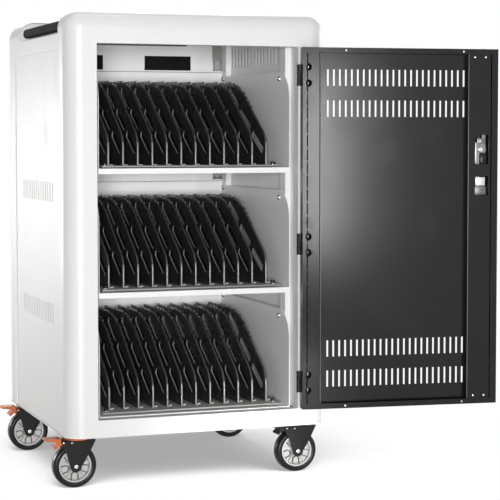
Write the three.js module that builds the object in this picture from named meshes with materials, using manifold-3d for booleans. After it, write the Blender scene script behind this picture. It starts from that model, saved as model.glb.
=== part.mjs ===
// Laptop charging cart: a rounded steel cabinet on four braked swivel casters, its front door swung open
// to show three bays of upright dividers. Millimetres, +Z up, +X to the right of someone facing the front,
// +Y to the back. Pieces are placed round the middle of the cabinet and moved to the shared frame at the end.

import * as THREE from 'three';
import { mergeVertices } from 'three/addons/utils/BufferGeometryUtils.js';
import Module from 'manifold-3d';

const wasm = await Module();
wasm.setup();

// Body
const BODY_WIDTH = 655;
const BODY_DEPTH = 650;
const BODY_HEIGHT = 1000;
const CASTER_HEIGHT = 130;
const EDGE_RADIUS = 40;
const CORNER_EASE = 6;
const SKIN = 2.5;
const SHEET = 1.5;

// Fits: the joint line between two covers, the gap under a piece at rest, and the gap round a moving pin
const SEAM = 0.4;
const REST = 0.3;
const PIN_PLAY = 0.4;

// Front and rear frames
const FRONT_FRAME_DEPTH = 72;
const STILE_WIDTH = 76;
const HEAD_HEIGHT = 76;
const SILL_HEIGHT = 42;
const JAMB_DEPTH = 30;
const REAR_FRAME_DEPTH = 104;
const REAR_STILE_WIDTH = 67.5;
const REAR_HEAD_HEIGHT = 80;
const REAR_SILL_HEIGHT = 80;
const REAR_JAMB_DEPTH = 24;

// Sunken top with a hand pocket and a grip bar along each side; drops are measured from the top of the frames
const SKIRT_DROP = 89;
const RIM_DROP = 51;
const PANEL_DROP = 24;
const POCKET_DROP = 56;
const POCKET_WIDTH = 60;
const POCKET_FILLET = 12;
const POCKET_REAR_LAND = 45;
const POCKET_CHEEK_LENGTH = 48;
const POCKET_CHEEK_HEIGHT = 18;
const GRIP_HEIGHT = 23;
const GRIP_WIDTH = 22;
const GRIP_ROUND = 9;
const GRIP_RECESS = 7;
const GRIP_CLEARANCE = 8.5;
const GRIP_REAR_GAP = 24;
const GRIP_STUD = 5;

// Side panels and their vents
const PANEL_LAP = 8;
const SIDE_VENT_COUNT = 14;
const SIDE_VENT_PITCH = 24;
const SIDE_VENT_WIDTH = 8;
const SIDE_VENT_HEIGHT = 48;
const SIDE_VENT_DROP = 82;
const BASE_FLANGE = 40;

// Trays, uprights and partition
const BAY_COUNT = 3;
const FIRST_TRAY_RISE = 44;
const TRAY_SIDE_GAP = 10;
const TRAY_JAMB_GAP = 1;
const TRAY_LIP = 13;
const TRAY_HEADROOM = 58;
const TRAY_CORNER = 72;
const POST_WIDTH = 14;
const POST_DEPTH = 36;
const FRONT_POST_SETBACK = 63;
const PARTITION_INSET = 5;
const WINDOW_WIDTH = 130;
const WINDOW_HEIGHT = 38;
const WINDOW_DROP = 42;
const WINDOW_CENTRES = [-157, 88];
const SIDE_WINDOW_WIDTH = 30;
const SIDE_WINDOW_MARGIN = 10;

// Divider racks
const DIVIDER_COUNT = 12;
const DIVIDER_MARGIN = 26.7;
const DIVIDER_THICKNESS = 4.6;
const DIVIDER_DROP = 23;
const DIVIDER_SETBACK = 57;
const DIVIDER_SHOULDER = 65;
const RACK_BASE_HEIGHT = 6;
const RACK_BASE_SETBACK = 18;
const RACK_REAR_GAP = 8;
const RACK_SIDE_GAP = 12;
const CABLE_SLOT_LENGTH = 110;
const CABLE_SLOT_WIDTH = 10;
const CABLE_SLOT_COUNT = 2;

// Power strips and inlet
const STRIP_WIDTH = 400;
const STRIP_HEIGHT = 44;
const STRIP_DEPTH = 38;
const STRIP_RISE = 100;
const OUTLET_COUNT = 6;
const OUTLET_WIDTH = 30;
const OUTLET_HEIGHT = 24;
const OUTLET_DEPTH = 12;
const INLET_OFFSET = 180;
const INLET_WIDTH = 30;
const INLET_HEIGHT = 24;
const INLET_BODY = 40;
const INLET_FLANGE = 9;

// Front door
const DOOR_OPEN_DEG = 172.5;
const DOOR_SIDE_GAP = 2.5;
const DOOR_END_GAP = 2;
const DOOR_DEPTH = 22;
const DOOR_LIP_HINGE = 10;
const DOOR_LIP_LOCK = 16;
const DOOR_LIP_END = 13;
const HINGE_STANDOFF = 6;
const HINGE_EDGE_OFFSET = 0.5;
const HINGE_TOP_DROP = 66.5;
const HINGE_MIDDLE_SHARE = 0.4573;
const HINGE_BOTTOM_RISE = 65;
const HINGE_HEIGHT = 52;
const HINGE_BARREL = 5.5;
const HINGE_PIN = 2.5;
const HINGE_LEAF = 27;
const HINGE_LEAF_THICKNESS = 2.2;
const HINGE_LEAF_RELIEF = 6.3;
const ACCESS_HOLE_RADIUS = 8.5;
const ACCESS_HOLE_OFFSET = 15;
const ACCESS_HOLE_SPREAD = 19.5;
const HINGE_CHANNEL_WIDTH = 34.5;
const LOCK_CHANNEL_WIDTH = 58;
const LOCK_CHANNEL_EDGE = 18;
const DOOR_VENT_COUNT = 24;
const DOOR_VENT_WIDTH = 4.6;
const DOOR_VENT_HEIGHT = 40;
const DOOR_VENT_START = 68;
const DOOR_VENT_END = 82.7;
const DOOR_VENT_DROPS = [72, 147];
const DOOR_VENT_RISES = [145, 71];

// Lock: turning spindle, lifting lever, key cylinder and two bolt rods
const SPINDLE_INSET = 41;
const SPINDLE_DROP = 247;
const SPINDLE_RADIUS = 5;
const DRIVE_DISC_RADIUS = 16;
const DRIVE_DISC_THICKNESS = 3.6;
const HUB_RADIUS = 11;
const HUB_DEPTH = 7.5;
const EAR_WIDTH = 10;
const EAR_DEPTH = 12;
const LEVER_LENGTH = 96;
const LEVER_WIDTH = 22;
const LEVER_THICKNESS = 10.5;
const LEVER_PIN = 2.4;
const ESCUTCHEON_WIDTH = 34;
const ESCUTCHEON_ABOVE = 22;
const ESCUTCHEON_BELOW = 138;
const ESCUTCHEON_DEPTH = 7.5;
const KEY_RADIUS = 7;
const KEY_DROP = 118;
const KEY_PROUD = 0.8;
const ROD_WIDTH = 10;
const ROD_THICKNESS = 3;
const ROD_OFFSET = 8;
const ROD_STUB = 0.8;
const ROD_STRIKE_PLAY = 1;
const LOCK_WINDOW_WIDTH = 34;
const LOCK_WINDOWS = [[-36, 36], [-113, -66]];

// Rear door
const REAR_DOOR_GAP = 3;
const REAR_DOOR_DEPTH = 18;
const REAR_PIVOT_EDGE = 6;
const REAR_PIVOT_FACE = 5;
const REAR_PIVOT_RADIUS = 3.5;
const REAR_PIVOT_LENGTH = 5;
const REAR_VENT_COUNT = 8;
const REAR_VENT_PITCH = 40;
const REAR_VENT_WIDTH = 8;
const REAR_VENT_HEIGHT = 48;
const CAM_EDGE = 22;
const CAM_BARREL = 9;
const CAM_HEAD = 11;
const CAM_HEAD_DEPTH = 2;
const CAM_TONGUE = 32;
const CAM_TONGUE_WIDTH = 12;
const CAM_TONGUE_THICKNESS = 2.5;
const CAM_JAMB_GAP = 4;

// Casters
const CASTER_INSET_SIDE = 43.5;
const CASTER_INSET_FRONT = 88;
const CASTER_INSET_REAR = 60;
const WHEEL_RADIUS = 53;
const WHEEL_WIDTH = 32;
const WHEEL_TRAIL = 6;
const HUB_RIM_RADIUS = 39.5;
const HUB_BOSS_RADIUS = 13;
const HUB_WEB = 10;
const AXLE_RADIUS = 5;
const AXLE_HEAD = 8;
const FORK_GAP = 3;
const FORK_SHEET = 3;
const CROWN_HEIGHT = 3;
const CROWN_AHEAD = 33;
const CROWN_BEHIND = 49;
const PLATE_SIZE = 80;
const PLATE_THICKNESS = 4;
const RACE_RADIUS = 26;
const RACE_HEIGHT = 6.5;
const RING_RADIUS = 28;
const RING_HEIGHT = 4;
const PEDAL_THICKNESS = 6;
const PEDAL_PIN = 3.6;

// Shared levels and planes
const FRONT = -BODY_DEPTH / 2;
const BACK = BODY_DEPTH / 2;
const SIDE = BODY_WIDTH / 2;
const FLOOR = CASTER_HEIGHT;
const TOP = FLOOR + BODY_HEIGHT;
const OPENING_HALF = SIDE - STILE_WIDTH;
const SILL = FLOOR + SILL_HEIGHT;
const HEAD = TOP - HEAD_HEIGHT;
const BAY_PITCH = (HEAD - SILL) / BAY_COUNT;
const TRAY_WALL = BAY_PITCH - TRAY_HEADROOM;
const DIVIDER_HEIGHT = TRAY_WALL - DIVIDER_DROP;
const REAR_OPENING_HALF = SIDE - REAR_STILE_WIDTH;
const REAR_SILL = FLOOR + REAR_SILL_HEIGHT;
const REAR_HEAD = TOP - REAR_HEAD_HEIGHT;
const FRONT_SEAM = FRONT + FRONT_FRAME_DEPTH;
const REAR_SEAM = BACK - REAR_FRAME_DEPTH;
const POCKET_END = REAR_SEAM - POCKET_REAR_LAND;
const POCKET_UNDERSIDE = TOP - POCKET_DROP - SKIN;
const PANEL_UNDERSIDE = TOP - PANEL_DROP - SKIN;
const DECK = FLOOR + SKIN + REST;
const TRAY_HALF = OPENING_HALF - TRAY_SIDE_GAP;
const TRAY_FRONT = FRONT + JAMB_DEPTH + TRAY_JAMB_GAP;
const PARTITION_FRONT = REAR_SEAM - PARTITION_INSET - SHEET;
const TRAY_REAR = PARTITION_FRONT - SEAM;
const POST_INNER = TRAY_HALF + REST;
const POST_OUTER = POST_INNER + POST_WIDTH;

const FINISHES = {
  enamel: { color: 0xf1f1ef, roughness: 0.42, metalness: 0.0 },
  sideEnamel: { color: 0xe9e9e6, roughness: 0.48, metalness: 0.0 },
  trayEnamel: { color: 0xd9d9d6, roughness: 0.5, metalness: 0.0 },
  doorEnamel: { color: 0x2e2f31, roughness: 0.5, metalness: 0.0 },
  blackPlastic: { color: 0x17181a, roughness: 0.55, metalness: 0.0 },
  blackSteel: { color: 0x1b1c1e, roughness: 0.4, metalness: 0.6 },
  zinc: { color: 0xc2c3c4, roughness: 0.32, metalness: 1.0 },
  chrome: { color: 0xd4d5d6, roughness: 0.15, metalness: 1.0 },
  orange: { color: 0xe0702c, roughness: 0.45, metalness: 0.0 },
  hubGrey: { color: 0xaaa8a0, roughness: 0.55, metalness: 0.0 },
  rubber: { color: 0x161616, roughness: 0.8, metalness: 0.0 },
};

// Solids

function toSolid(geometry) {
  geometry.deleteAttribute('normal');
  geometry.deleteAttribute('uv');
  const welded = mergeVertices(geometry, 1e-4);
  return new wasm.Manifold(new wasm.Mesh({
    numProp: 3,
    vertProperties: Float32Array.from(welded.attributes.position.array),
    triVerts: Uint32Array.from(welded.index.array),
  }));
}

function toGeometry(solid) {
  const mesh = solid.getMesh();
  const geometry = new THREE.BufferGeometry();
  geometry.setAttribute('position', new THREE.BufferAttribute(Float32Array.from(mesh.vertProperties), 3));
  geometry.setIndex(new THREE.BufferAttribute(Uint32Array.from(mesh.triVerts), 1));
  geometry.computeVertexNormals();
  return geometry;
}

const fuse = (first, ...others) => others.reduce((whole, piece) => whole.add(piece), first);
const cut = (first, ...tools) => tools.reduce((whole, tool) => whole.subtract(tool), first);

function box([x0, x1], [y0, y1], [z0, z1]) {
  const geometry = new THREE.BoxGeometry(x1 - x0, y1 - y0, z1 - z0);
  geometry.translate((x0 + x1) / 2, (y0 + y1) / 2, (z0 + z1) / 2);
  return toSolid(geometry);
}

const AXIS_X = new THREE.Vector3(1, 0, 0);
const AXIS_Y = new THREE.Vector3(0, 1, 0);
const AXIS_Z = new THREE.Vector3(0, 0, 1);

// An outline drawn across an axis and drawn out along it: (y, z) for x, (x, z) for y and (x, y) for z.
function prism(axis, [from, to], outline, holes = []) {
  const shape = new THREE.Shape(outline.map(([u, v]) => new THREE.Vector2(u, v)));
  const geometry = new THREE.ExtrudeGeometry(shape, { depth: to - from, bevelEnabled: false });
  const turn = new THREE.Matrix4();
  if (axis === 'x') {
    geometry.applyMatrix4(turn.makeBasis(AXIS_Y, AXIS_Z, AXIS_X));
    geometry.translate(from, 0, 0);
  } else if (axis === 'y') {
    geometry.applyMatrix4(turn.makeBasis(AXIS_X, AXIS_Z, AXIS_Y.clone().negate()));
    geometry.translate(0, to, 0);
  } else {
    geometry.translate(0, 0, from);
  }
  return cut(toSolid(geometry), ...holes.map((hole) => prism(axis, [from - 1, to + 1], hole)));
}

// A turned solid round the local Y axis through (x, z), from a counter-clockwise (radius, y) profile.
function turned(profile, segments, x, z) {
  const points = [...profile, profile[0]].map(([r, y]) => new THREE.Vector2(r, y));
  const geometry = new THREE.LatheGeometry(points, segments);
  geometry.translate(x, 0, z);
  return toSolid(geometry);
}

function arc(cu, cv, radius, startDeg, endDeg, steps) {
  return Array.from({ length: steps + 1 }, (_, i) => {
    const angle = THREE.MathUtils.degToRad(startDeg + ((endDeg - startDeg) * i) / steps);
    return [cu + radius * Math.cos(angle), cv + radius * Math.sin(angle)];
  });
}

const disc = (cu, cv, radius, sides) => arc(cu, cv, radius, 0, 360, sides).slice(0, -1);
const rectangle = (u0, u1, v0, v1) => [[u0, v0], [u1, v0], [u1, v1], [u0, v1]];

function roundedRectangle(u0, u1, v0, v1, radius, steps) {
  return [
    ...arc(u0 + radius, v0 + radius, radius, 180, 270, steps),
    ...arc(u1 - radius, v0 + radius, radius, 270, 360, steps),
    ...arc(u1 - radius, v1 - radius, radius, 0, 90, steps),
    ...arc(u0 + radius, v1 - radius, radius, 90, 180, steps),
  ];
}

const flipped = (outline) => outline.map(([u, v]) => [-u, v]);
const mirrored = (outline) => flipped(outline).reverse();

function addPiece(group, name, solid, finish) {
  const mesh = new THREE.Mesh(toGeometry(solid), new THREE.MeshStandardMaterial(FINISHES[finish]));
  mesh.name = name;
  group.add(mesh);
}

// Cabinet covers: one rounded envelope, hollowed and parted into the frames

function envelope(inset) {
  const roll = EDGE_RADIUS - inset;
  const plan = roundedRectangle(
    -SIDE + EDGE_RADIUS, SIDE - EDGE_RADIUS, FRONT + EDGE_RADIUS, BACK - EDGE_RADIUS, CORNER_EASE, 4,
  );
  const shape = new THREE.Shape(plan.map(([u, v]) => new THREE.Vector2(u, v)));
  const geometry = new THREE.ExtrudeGeometry(shape, {
    depth: BODY_HEIGHT,
    bevelEnabled: true,
    bevelSize: roll,
    bevelThickness: roll,
    bevelSegments: 4,
  });
  geometry.translate(0, 0, TOP - inset - roll - BODY_HEIGHT);
  const above = box([-SIDE * 2, SIDE * 2], [FRONT * 2, BACK * 2], [FLOOR + inset, TOP * 2]);
  return toSolid(geometry).intersect(above);
}

const outer = envelope(0);
const shell = outer.subtract(envelope(SKIN));

// The sunken top in section: skirt, hand pocket and panel on the left, mirrored to the right.
function capSection() {
  const pocketFloor = TOP - POCKET_DROP;
  const panel = TOP - PANEL_DROP;
  const wall = -SIDE + POCKET_WIDTH;
  const f = POCKET_FILLET;
  const upper = [
    [-SIDE, TOP - SKIRT_DROP],
    [-SIDE, TOP - RIM_DROP],
    [-SIDE + SKIN, TOP - RIM_DROP],
    [-SIDE + SKIN, pocketFloor],
    ...arc(wall - f, pocketFloor + f, f, 270, 360, 3),
    ...arc(wall + f, panel - f, f, 180, 90, 3),
  ];
  const lower = [
    [-SIDE + SKIN, TOP - SKIRT_DROP],
    [-SIDE + SKIN, POCKET_UNDERSIDE],
    ...arc(wall - f, pocketFloor + f, f + SKIN, 270, 360, 3),
    ...arc(wall + f, panel - f, f - SKIN, 180, 90, 3),
  ];
  return { upper, lower };
}

const cap = capSection();
const capOutline = [...cap.upper, ...mirrored(cap.upper), ...flipped(cap.lower), ...[...cap.lower].reverse()];
const underCap = prism('y', [FRONT * 2, BACK * 2], [
  [-SIDE * 2, 0],
  [-SIDE * 2, TOP - SKIRT_DROP],
  ...cap.lower,
  ...mirrored(cap.lower),
  [SIDE * 2, TOP - SKIRT_DROP],
  [SIDE * 2, 0],
]);

// The sunken top with its rear ends, where the rim of each pocket sweeps up to the rear frame.
function topCap() {
  const rim = TOP - RIM_DROP;
  const rear = POCKET_END - SEAM;
  const front = rear - POCKET_CHEEK_LENGTH;
  const sweep = arc(0, 0, 1, 270, 360, 5).map(
    ([u, v]) => [front + POCKET_CHEEK_LENGTH * u, rim + POCKET_CHEEK_HEIGHT * (1 + v)],
  );
  const outline = [[front, rim - SKIN], [rear, rim - SKIN], ...sweep.reverse()];
  const cheek = prism('x', [-SIDE, -SIDE + SKIN], outline).intersect(outer);
  return fuse(prism('y', [FRONT_SEAM + SEAM, rear], capOutline), cheek, cheek.mirror([1, 0, 0]));
}

// The wall that closes a frame above the sunken top.
function bulkhead(from, to) {
  return outer.intersect(box([-SIDE * 2, SIDE * 2], [from, to], [0, TOP * 2])).subtract(underCap);
}

function openingRing(half, sill, head, [from, to]) {
  return prism('y', [from, to], rectangle(-half - SKIN, half + SKIN, sill - SKIN, head + SKIN), [
    rectangle(-half, half, sill, head),
  ]);
}

// Where the two bolt rods stand once the door is shut.
const HINGE_X = OPENING_HALF - HINGE_EDGE_OFFSET;
const HINGE_Y = FRONT - HINGE_STANDOFF;
const DOOR_EDGE = OPENING_HALF - DOOR_SIDE_GAP - HINGE_X;
const DOOR_FAR = -OPENING_HALF + DOOR_SIDE_GAP - HINGE_X;
const DOOR_FACE = HINGE_STANDOFF;
const DOOR_INNER = DOOR_FACE + DOOR_DEPTH;
const DOOR_BOTTOM = SILL + DOOR_END_GAP;
const DOOR_TOP = HEAD - DOOR_END_GAP;
const SPINDLE_X = DOOR_FAR + SPINDLE_INSET;
const SPINDLE_Z = DOOR_TOP - SPINDLE_DROP;
const HINGE_LEVELS = [
  DOOR_TOP - HINGE_TOP_DROP,
  DOOR_BOTTOM + (DOOR_TOP - DOOR_BOTTOM) * HINGE_MIDDLE_SHARE,
  DOOR_BOTTOM + HINGE_BOTTOM_RISE,
];
const DISC_BACK = DOOR_FACE + SHEET + HINGE_STANDOFF / 2 + DRIVE_DISC_THICKNESS;
const ROD_Y = [DISC_BACK + PIN_PLAY, DISC_BACK + PIN_PLAY + ROD_THICKNESS];
const UPPER_ROD_X = [SPINDLE_X - ROD_OFFSET - ROD_WIDTH / 2, SPINDLE_X - ROD_OFFSET + ROD_WIDTH / 2];
const LOWER_ROD_X = [SPINDLE_X + ROD_OFFSET - ROD_WIDTH / 2, SPINDLE_X + ROD_OFFSET + ROD_WIDTH / 2];

const widened = ([a, b], by) => [a - by, b + by];
const shifted = ([a, b], by) => [a + by, b + by];

function strikeHole(rodX, levels) {
  return box(
    shifted(widened(rodX, ROD_STRIKE_PLAY), HINGE_X),
    shifted(widened(ROD_Y, ROD_STRIKE_PLAY), HINGE_Y),
    levels,
  );
}

function frontFrame() {
  const slab = box([-SIDE * 2, SIDE * 2], [FRONT * 2, FRONT_SEAM], [0, TOP * 2]);
  const skin = cut(
    shell.intersect(slab),
    box([-OPENING_HALF, OPENING_HALF], [FRONT * 2, FRONT + JAMB_DEPTH], [SILL, HEAD]),
  );
  return cut(
    fuse(
      skin,
      bulkhead(FRONT_SEAM - SKIN, FRONT_SEAM),
      openingRing(OPENING_HALF, SILL, HEAD, [FRONT, FRONT + JAMB_DEPTH]),
    ),
    strikeHole(UPPER_ROD_X, [HEAD - 1, HEAD + SKIN + 1]),
    strikeHole(LOWER_ROD_X, [SILL - SKIN - 1, SILL + 1]),
  );
}

const REAR_PIVOT_X = REAR_OPENING_HALF - REAR_DOOR_GAP - REAR_PIVOT_EDGE;
const REAR_PIVOT_Y = BACK - REAR_PIVOT_FACE;
const INLET_Z = FLOOR + REAR_SILL_HEIGHT / 2;
const INLET_X = [INLET_OFFSET - INLET_WIDTH / 2, INLET_OFFSET + INLET_WIDTH / 2];
const INLET_LEVELS = [INLET_Z - INLET_HEIGHT / 2, INLET_Z + INLET_HEIGHT / 2];

function rearFrame() {
  const lower = box([-SIDE * 2, SIDE * 2], [REAR_SEAM, BACK * 2], [0, TOP * 2]);
  const upper = box([-SIDE * 2, SIDE * 2], [POCKET_END, BACK * 2], [TOP - SKIRT_DROP, TOP * 2]);
  const skin = cut(
    shell.intersect(lower.add(upper)),
    box([-REAR_OPENING_HALF, REAR_OPENING_HALF], [BACK - REAR_JAMB_DEPTH, BACK * 2], [REAR_SILL, REAR_HEAD]),
    box(widened(INLET_X, PIN_PLAY), [BACK - EDGE_RADIUS, BACK * 2], widened(INLET_LEVELS, PIN_PLAY)),
  );
  const pivot = disc(REAR_PIVOT_X, REAR_PIVOT_Y, REAR_PIVOT_RADIUS + PIN_PLAY, 16);
  return cut(
    fuse(
      skin,
      bulkhead(POCKET_END, POCKET_END + SKIN),
      openingRing(REAR_OPENING_HALF, REAR_SILL, REAR_HEAD, [BACK - REAR_JAMB_DEPTH, BACK]),
    ),
    prism('z', [REAR_HEAD - 1, REAR_HEAD + SKIN + 1], pivot),
    prism('z', [REAR_SILL - SKIN - 1, REAR_SILL + 1], pivot),
  );
}

function sidePanel() {
  const ends = [FRONT_SEAM - PANEL_LAP, REAR_SEAM + PANEL_LAP];
  const top = POCKET_UNDERSIDE - SEAM;
  const middle = (FRONT_SEAM + POCKET_END) / 2 + PANEL_LAP * 2;
  const first = middle - ((SIDE_VENT_COUNT - 1) * SIDE_VENT_PITCH) / 2;
  const rows = Array.from({ length: BAY_COUNT - 1 }, (_, bay) => {
    const low = trayLevel(bay) + BAY_PITCH - SIDE_VENT_DROP;
    return [low, low + SIDE_VENT_HEIGHT];
  });
  rows.push([TOP - SKIRT_DROP + SHEET, top - SHEET * 2]);
  const vents = rows.flatMap(([low, high]) => Array.from({ length: SIDE_VENT_COUNT }, (_, i) => {
    const y = first + i * SIDE_VENT_PITCH;
    return rectangle(y - SIDE_VENT_WIDTH / 2, y + SIDE_VENT_WIDTH / 2, low, high);
  }));
  const face = SIDE - SKIN - REST;
  return prism('x', [face - SHEET, face], rectangle(...ends, DECK, top), vents);
}

function basePan() {
  const span = [FRONT_SEAM + SEAM, REAR_SEAM - SEAM];
  const flange = SIDE - SKIN - REST * 2 - SHEET;
  const sides = [-1, 1].map((side) => box(
    side > 0 ? [flange - SKIN, flange] : [-flange, -flange + SKIN], span, [FLOOR, FLOOR + BASE_FLANGE],
  ));
  return fuse(box([-SIDE, SIDE], span, [FLOOR, FLOOR + SKIN]), ...sides);
}

// A bar let into the pocket, round at its free end and held there by a stud.
function gripBar() {
  const low = TOP - RIM_DROP + GRIP_CLEARANCE;
  const face = -SIDE + GRIP_RECESS;
  const end = POCKET_END - GRIP_REAR_GAP;
  const half = GRIP_HEIGHT / 2;
  const section = roundedRectangle(face, face + GRIP_WIDTH, low, low + GRIP_HEIGHT, GRIP_ROUND, 3);
  const side = [
    [FRONT_SEAM + REST, low],
    ...arc(end - half, low + half, half, -90, 90, 6),
    [FRONT_SEAM + REST, low + GRIP_HEIGHT],
  ];
  const bar = prism('y', [FRONT_SEAM + REST, end], section).intersect(prism('x', [face, face + GRIP_WIDTH], side));
  return fuse(
    bar,
    prism('y', [end - half, POCKET_END - REST], disc(face + GRIP_WIDTH / 2, low + half, GRIP_STUD, 8)),
  );
}

// Inside: trays, uprights, partition, racks and power

function trayLevel(bay) {
  return FLOOR + FIRST_TRAY_RISE + bay * BAY_PITCH;
}

function tray(level) {
  const wallTop = level + TRAY_WALL;
  const wall = [
    [TRAY_FRONT, level - SHEET],
    [TRAY_REAR, level - SHEET],
    [TRAY_REAR, wallTop],
    ...arc(TRAY_FRONT + TRAY_CORNER, wallTop - TRAY_CORNER, TRAY_CORNER, 90, 180, 6),
  ];
  return fuse(
    box([-TRAY_HALF, TRAY_HALF], [TRAY_FRONT, TRAY_REAR], [level - SHEET, level]),
    box([-TRAY_HALF, TRAY_HALF], [TRAY_FRONT, TRAY_FRONT + SHEET], [level - TRAY_LIP, level]),
    box([-TRAY_HALF, TRAY_HALF], [TRAY_REAR - SHEET, TRAY_REAR], [level - SHEET, wallTop]),
    prism('x', [-TRAY_HALF, -TRAY_HALF + SHEET], wall),
    prism('x', [TRAY_HALF - SHEET, TRAY_HALF], wall),
  );
}

// One divider in side view: upright front edge, sloping shoulder and flat top, with cable slots along the slope.
function dividerOutline(level, front, rear) {
  const foot = level + RACK_BASE_HEIGHT / 2;
  const top = level + DIVIDER_HEIGHT;
  const depth = rear - front;
  return [
    [front, foot],
    [rear, foot],
    [rear, top],
    [front + depth * 0.58, top],
    [front + depth * 0.49, top - DIVIDER_HEIGHT * 0.033],
    [front + depth * 0.41, top - DIVIDER_HEIGHT * 0.085],
    [front + depth * 0.05, level + DIVIDER_SHOULDER + DIVIDER_HEIGHT * 0.115],
    [front, level + DIVIDER_SHOULDER],
  ];
}

function cableSlots(level, front, rear) {
  const depth = rear - front;
  const rise = Math.atan2(DIVIDER_HEIGHT * 0.515, depth * 0.416);
  const along = [Math.cos(rise) * CABLE_SLOT_LENGTH / 2, Math.sin(rise) * CABLE_SLOT_LENGTH / 2];
  const across = [-Math.sin(rise) * CABLE_SLOT_WIDTH / 2, Math.cos(rise) * CABLE_SLOT_WIDTH / 2];
  return Array.from({ length: CABLE_SLOT_COUNT }, (_, i) => {
    const u = front + depth * (0.19 + 0.26 * i);
    const v = level + DIVIDER_HEIGHT * (0.335 + 0.32 * i);
    return [[-1, -1], [1, -1], [1, 1], [-1, 1]].map(
      ([a, b]) => [u + along[0] * a + across[0] * b, v + along[1] * a + across[1] * b],
    );
  });
}

function dividerRack(level) {
  const baseHalf = TRAY_HALF - SHEET - RACK_SIDE_GAP;
  const rear = TRAY_REAR - SHEET - RACK_REAR_GAP;
  const front = TRAY_FRONT + DIVIDER_SETBACK;
  const base = box(
    [-baseHalf, baseHalf], [TRAY_FRONT + RACK_BASE_SETBACK, rear], [level + REST, level + RACK_BASE_HEIGHT],
  );
  const pitch = (2 * (baseHalf - DIVIDER_MARGIN)) / (DIVIDER_COUNT - 1);
  const outline = dividerOutline(level, front, rear);
  const slots = cableSlots(level, front, rear);
  const dividers = Array.from({ length: DIVIDER_COUNT }, (_, i) => {
    const x = (i - (DIVIDER_COUNT - 1) / 2) * pitch;
    return prism('x', [x - DIVIDER_THICKNESS / 2, x + DIVIDER_THICKNESS / 2], outline, slots);
  });
  return fuse(base, ...dividers);
}

// A channel post, open towards the side panel.
function upright(side, front) {
  const back = front + POST_DEPTH;
  const section = [
    [POST_INNER, front],
    [POST_OUTER, front],
    [POST_OUTER, front + SHEET],
    [POST_INNER + SHEET, front + SHEET],
    [POST_INNER + SHEET, back - SHEET],
    [POST_OUTER, back - SHEET],
    [POST_OUTER, back],
    [POST_INNER, back],
  ];
  return prism('z', [DECK, PANEL_UNDERSIDE - REST], side > 0 ? section : mirrored(section));
}

function partition() {
  const windows = Array.from({ length: BAY_COUNT }, (_, bay) => {
    const low = trayLevel(bay) + BAY_PITCH - WINDOW_DROP;
    const levels = [low, low + WINDOW_HEIGHT];
    const edge = POST_OUTER - SIDE_WINDOW_MARGIN;
    return [
      ...WINDOW_CENTRES.map((u) => rectangle(u - WINDOW_WIDTH / 2, u + WINDOW_WIDTH / 2, ...levels)),
      rectangle(edge - SIDE_WINDOW_WIDTH, edge, ...levels),
    ];
  }).flat();
  const sheet = rectangle(-POST_OUTER, POST_OUTER, DECK, PANEL_UNDERSIDE - REST);
  return prism('y', [PARTITION_FRONT, PARTITION_FRONT + SHEET], sheet, windows);
}

function powerStrip(level) {
  const face = PARTITION_FRONT + SHEET + REST;
  const low = level + STRIP_RISE;
  const pitch = STRIP_WIDTH / OUTLET_COUNT;
  const outlets = Array.from({ length: OUTLET_COUNT }, (_, i) => {
    const x = (i - (OUTLET_COUNT - 1) / 2) * pitch;
    const middle = low + STRIP_HEIGHT / 2;
    return box(
      [x - OUTLET_WIDTH / 2, x + OUTLET_WIDTH / 2],
      [face + STRIP_DEPTH - OUTLET_DEPTH, face + STRIP_DEPTH + 1],
      [middle - OUTLET_HEIGHT / 2, middle + OUTLET_HEIGHT / 2],
    );
  });
  const body = box([-STRIP_WIDTH / 2, STRIP_WIDTH / 2], [face, face + STRIP_DEPTH], [low, low + STRIP_HEIGHT]);
  return cut(body, ...outlets);
}

function powerInlet() {
  const flange = prism('y', [BACK + REST, BACK + REST + SKIN], roundedRectangle(
    ...widened(INLET_X, INLET_FLANGE), ...widened(INLET_LEVELS, INLET_FLANGE), INLET_FLANGE, 3,
  ));
  const body = box(INLET_X, [BACK - INLET_BODY, BACK + REST + SKIN], INLET_LEVELS);
  const socket = box(
    widened(INLET_X, -SKIN), [BACK - INLET_BODY + SKIN * 4, BACK * 2], widened(INLET_LEVELS, -SKIN),
  );
  return cut(fuse(flange, body), socket);
}

// Front door, drawn shut with the hinge axis at the origin of its group

function doorVents() {
  const pitch = (DOOR_EDGE - DOOR_FAR - DOOR_VENT_START - DOOR_VENT_END) / (DOOR_VENT_COUNT - 1);
  const rows = [
    ...DOOR_VENT_DROPS.map((drop) => DOOR_TOP - drop),
    ...DOOR_VENT_RISES.map((rise) => DOOR_BOTTOM + rise),
  ];
  return rows.flatMap((middle) => Array.from({ length: DOOR_VENT_COUNT }, (_, i) => {
    const x = DOOR_EDGE - DOOR_VENT_START - i * pitch;
    return rectangle(
      x - DOOR_VENT_WIDTH / 2, x + DOOR_VENT_WIDTH / 2, middle - DOOR_VENT_HEIGHT / 2, middle + DOOR_VENT_HEIGHT / 2,
    );
  }));
}

function accessHoles() {
  const levels = HINGE_LEVELS.flatMap((z) => [z - ACCESS_HOLE_SPREAD, z + ACCESS_HOLE_SPREAD]);
  return levels.map((z) => prism(
    'y',
    [DOOR_INNER - SHEET * 3, DOOR_INNER + 1],
    disc(DOOR_EDGE - ACCESS_HOLE_OFFSET, z, ACCESS_HOLE_RADIUS, 8),
  ));
}

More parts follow.
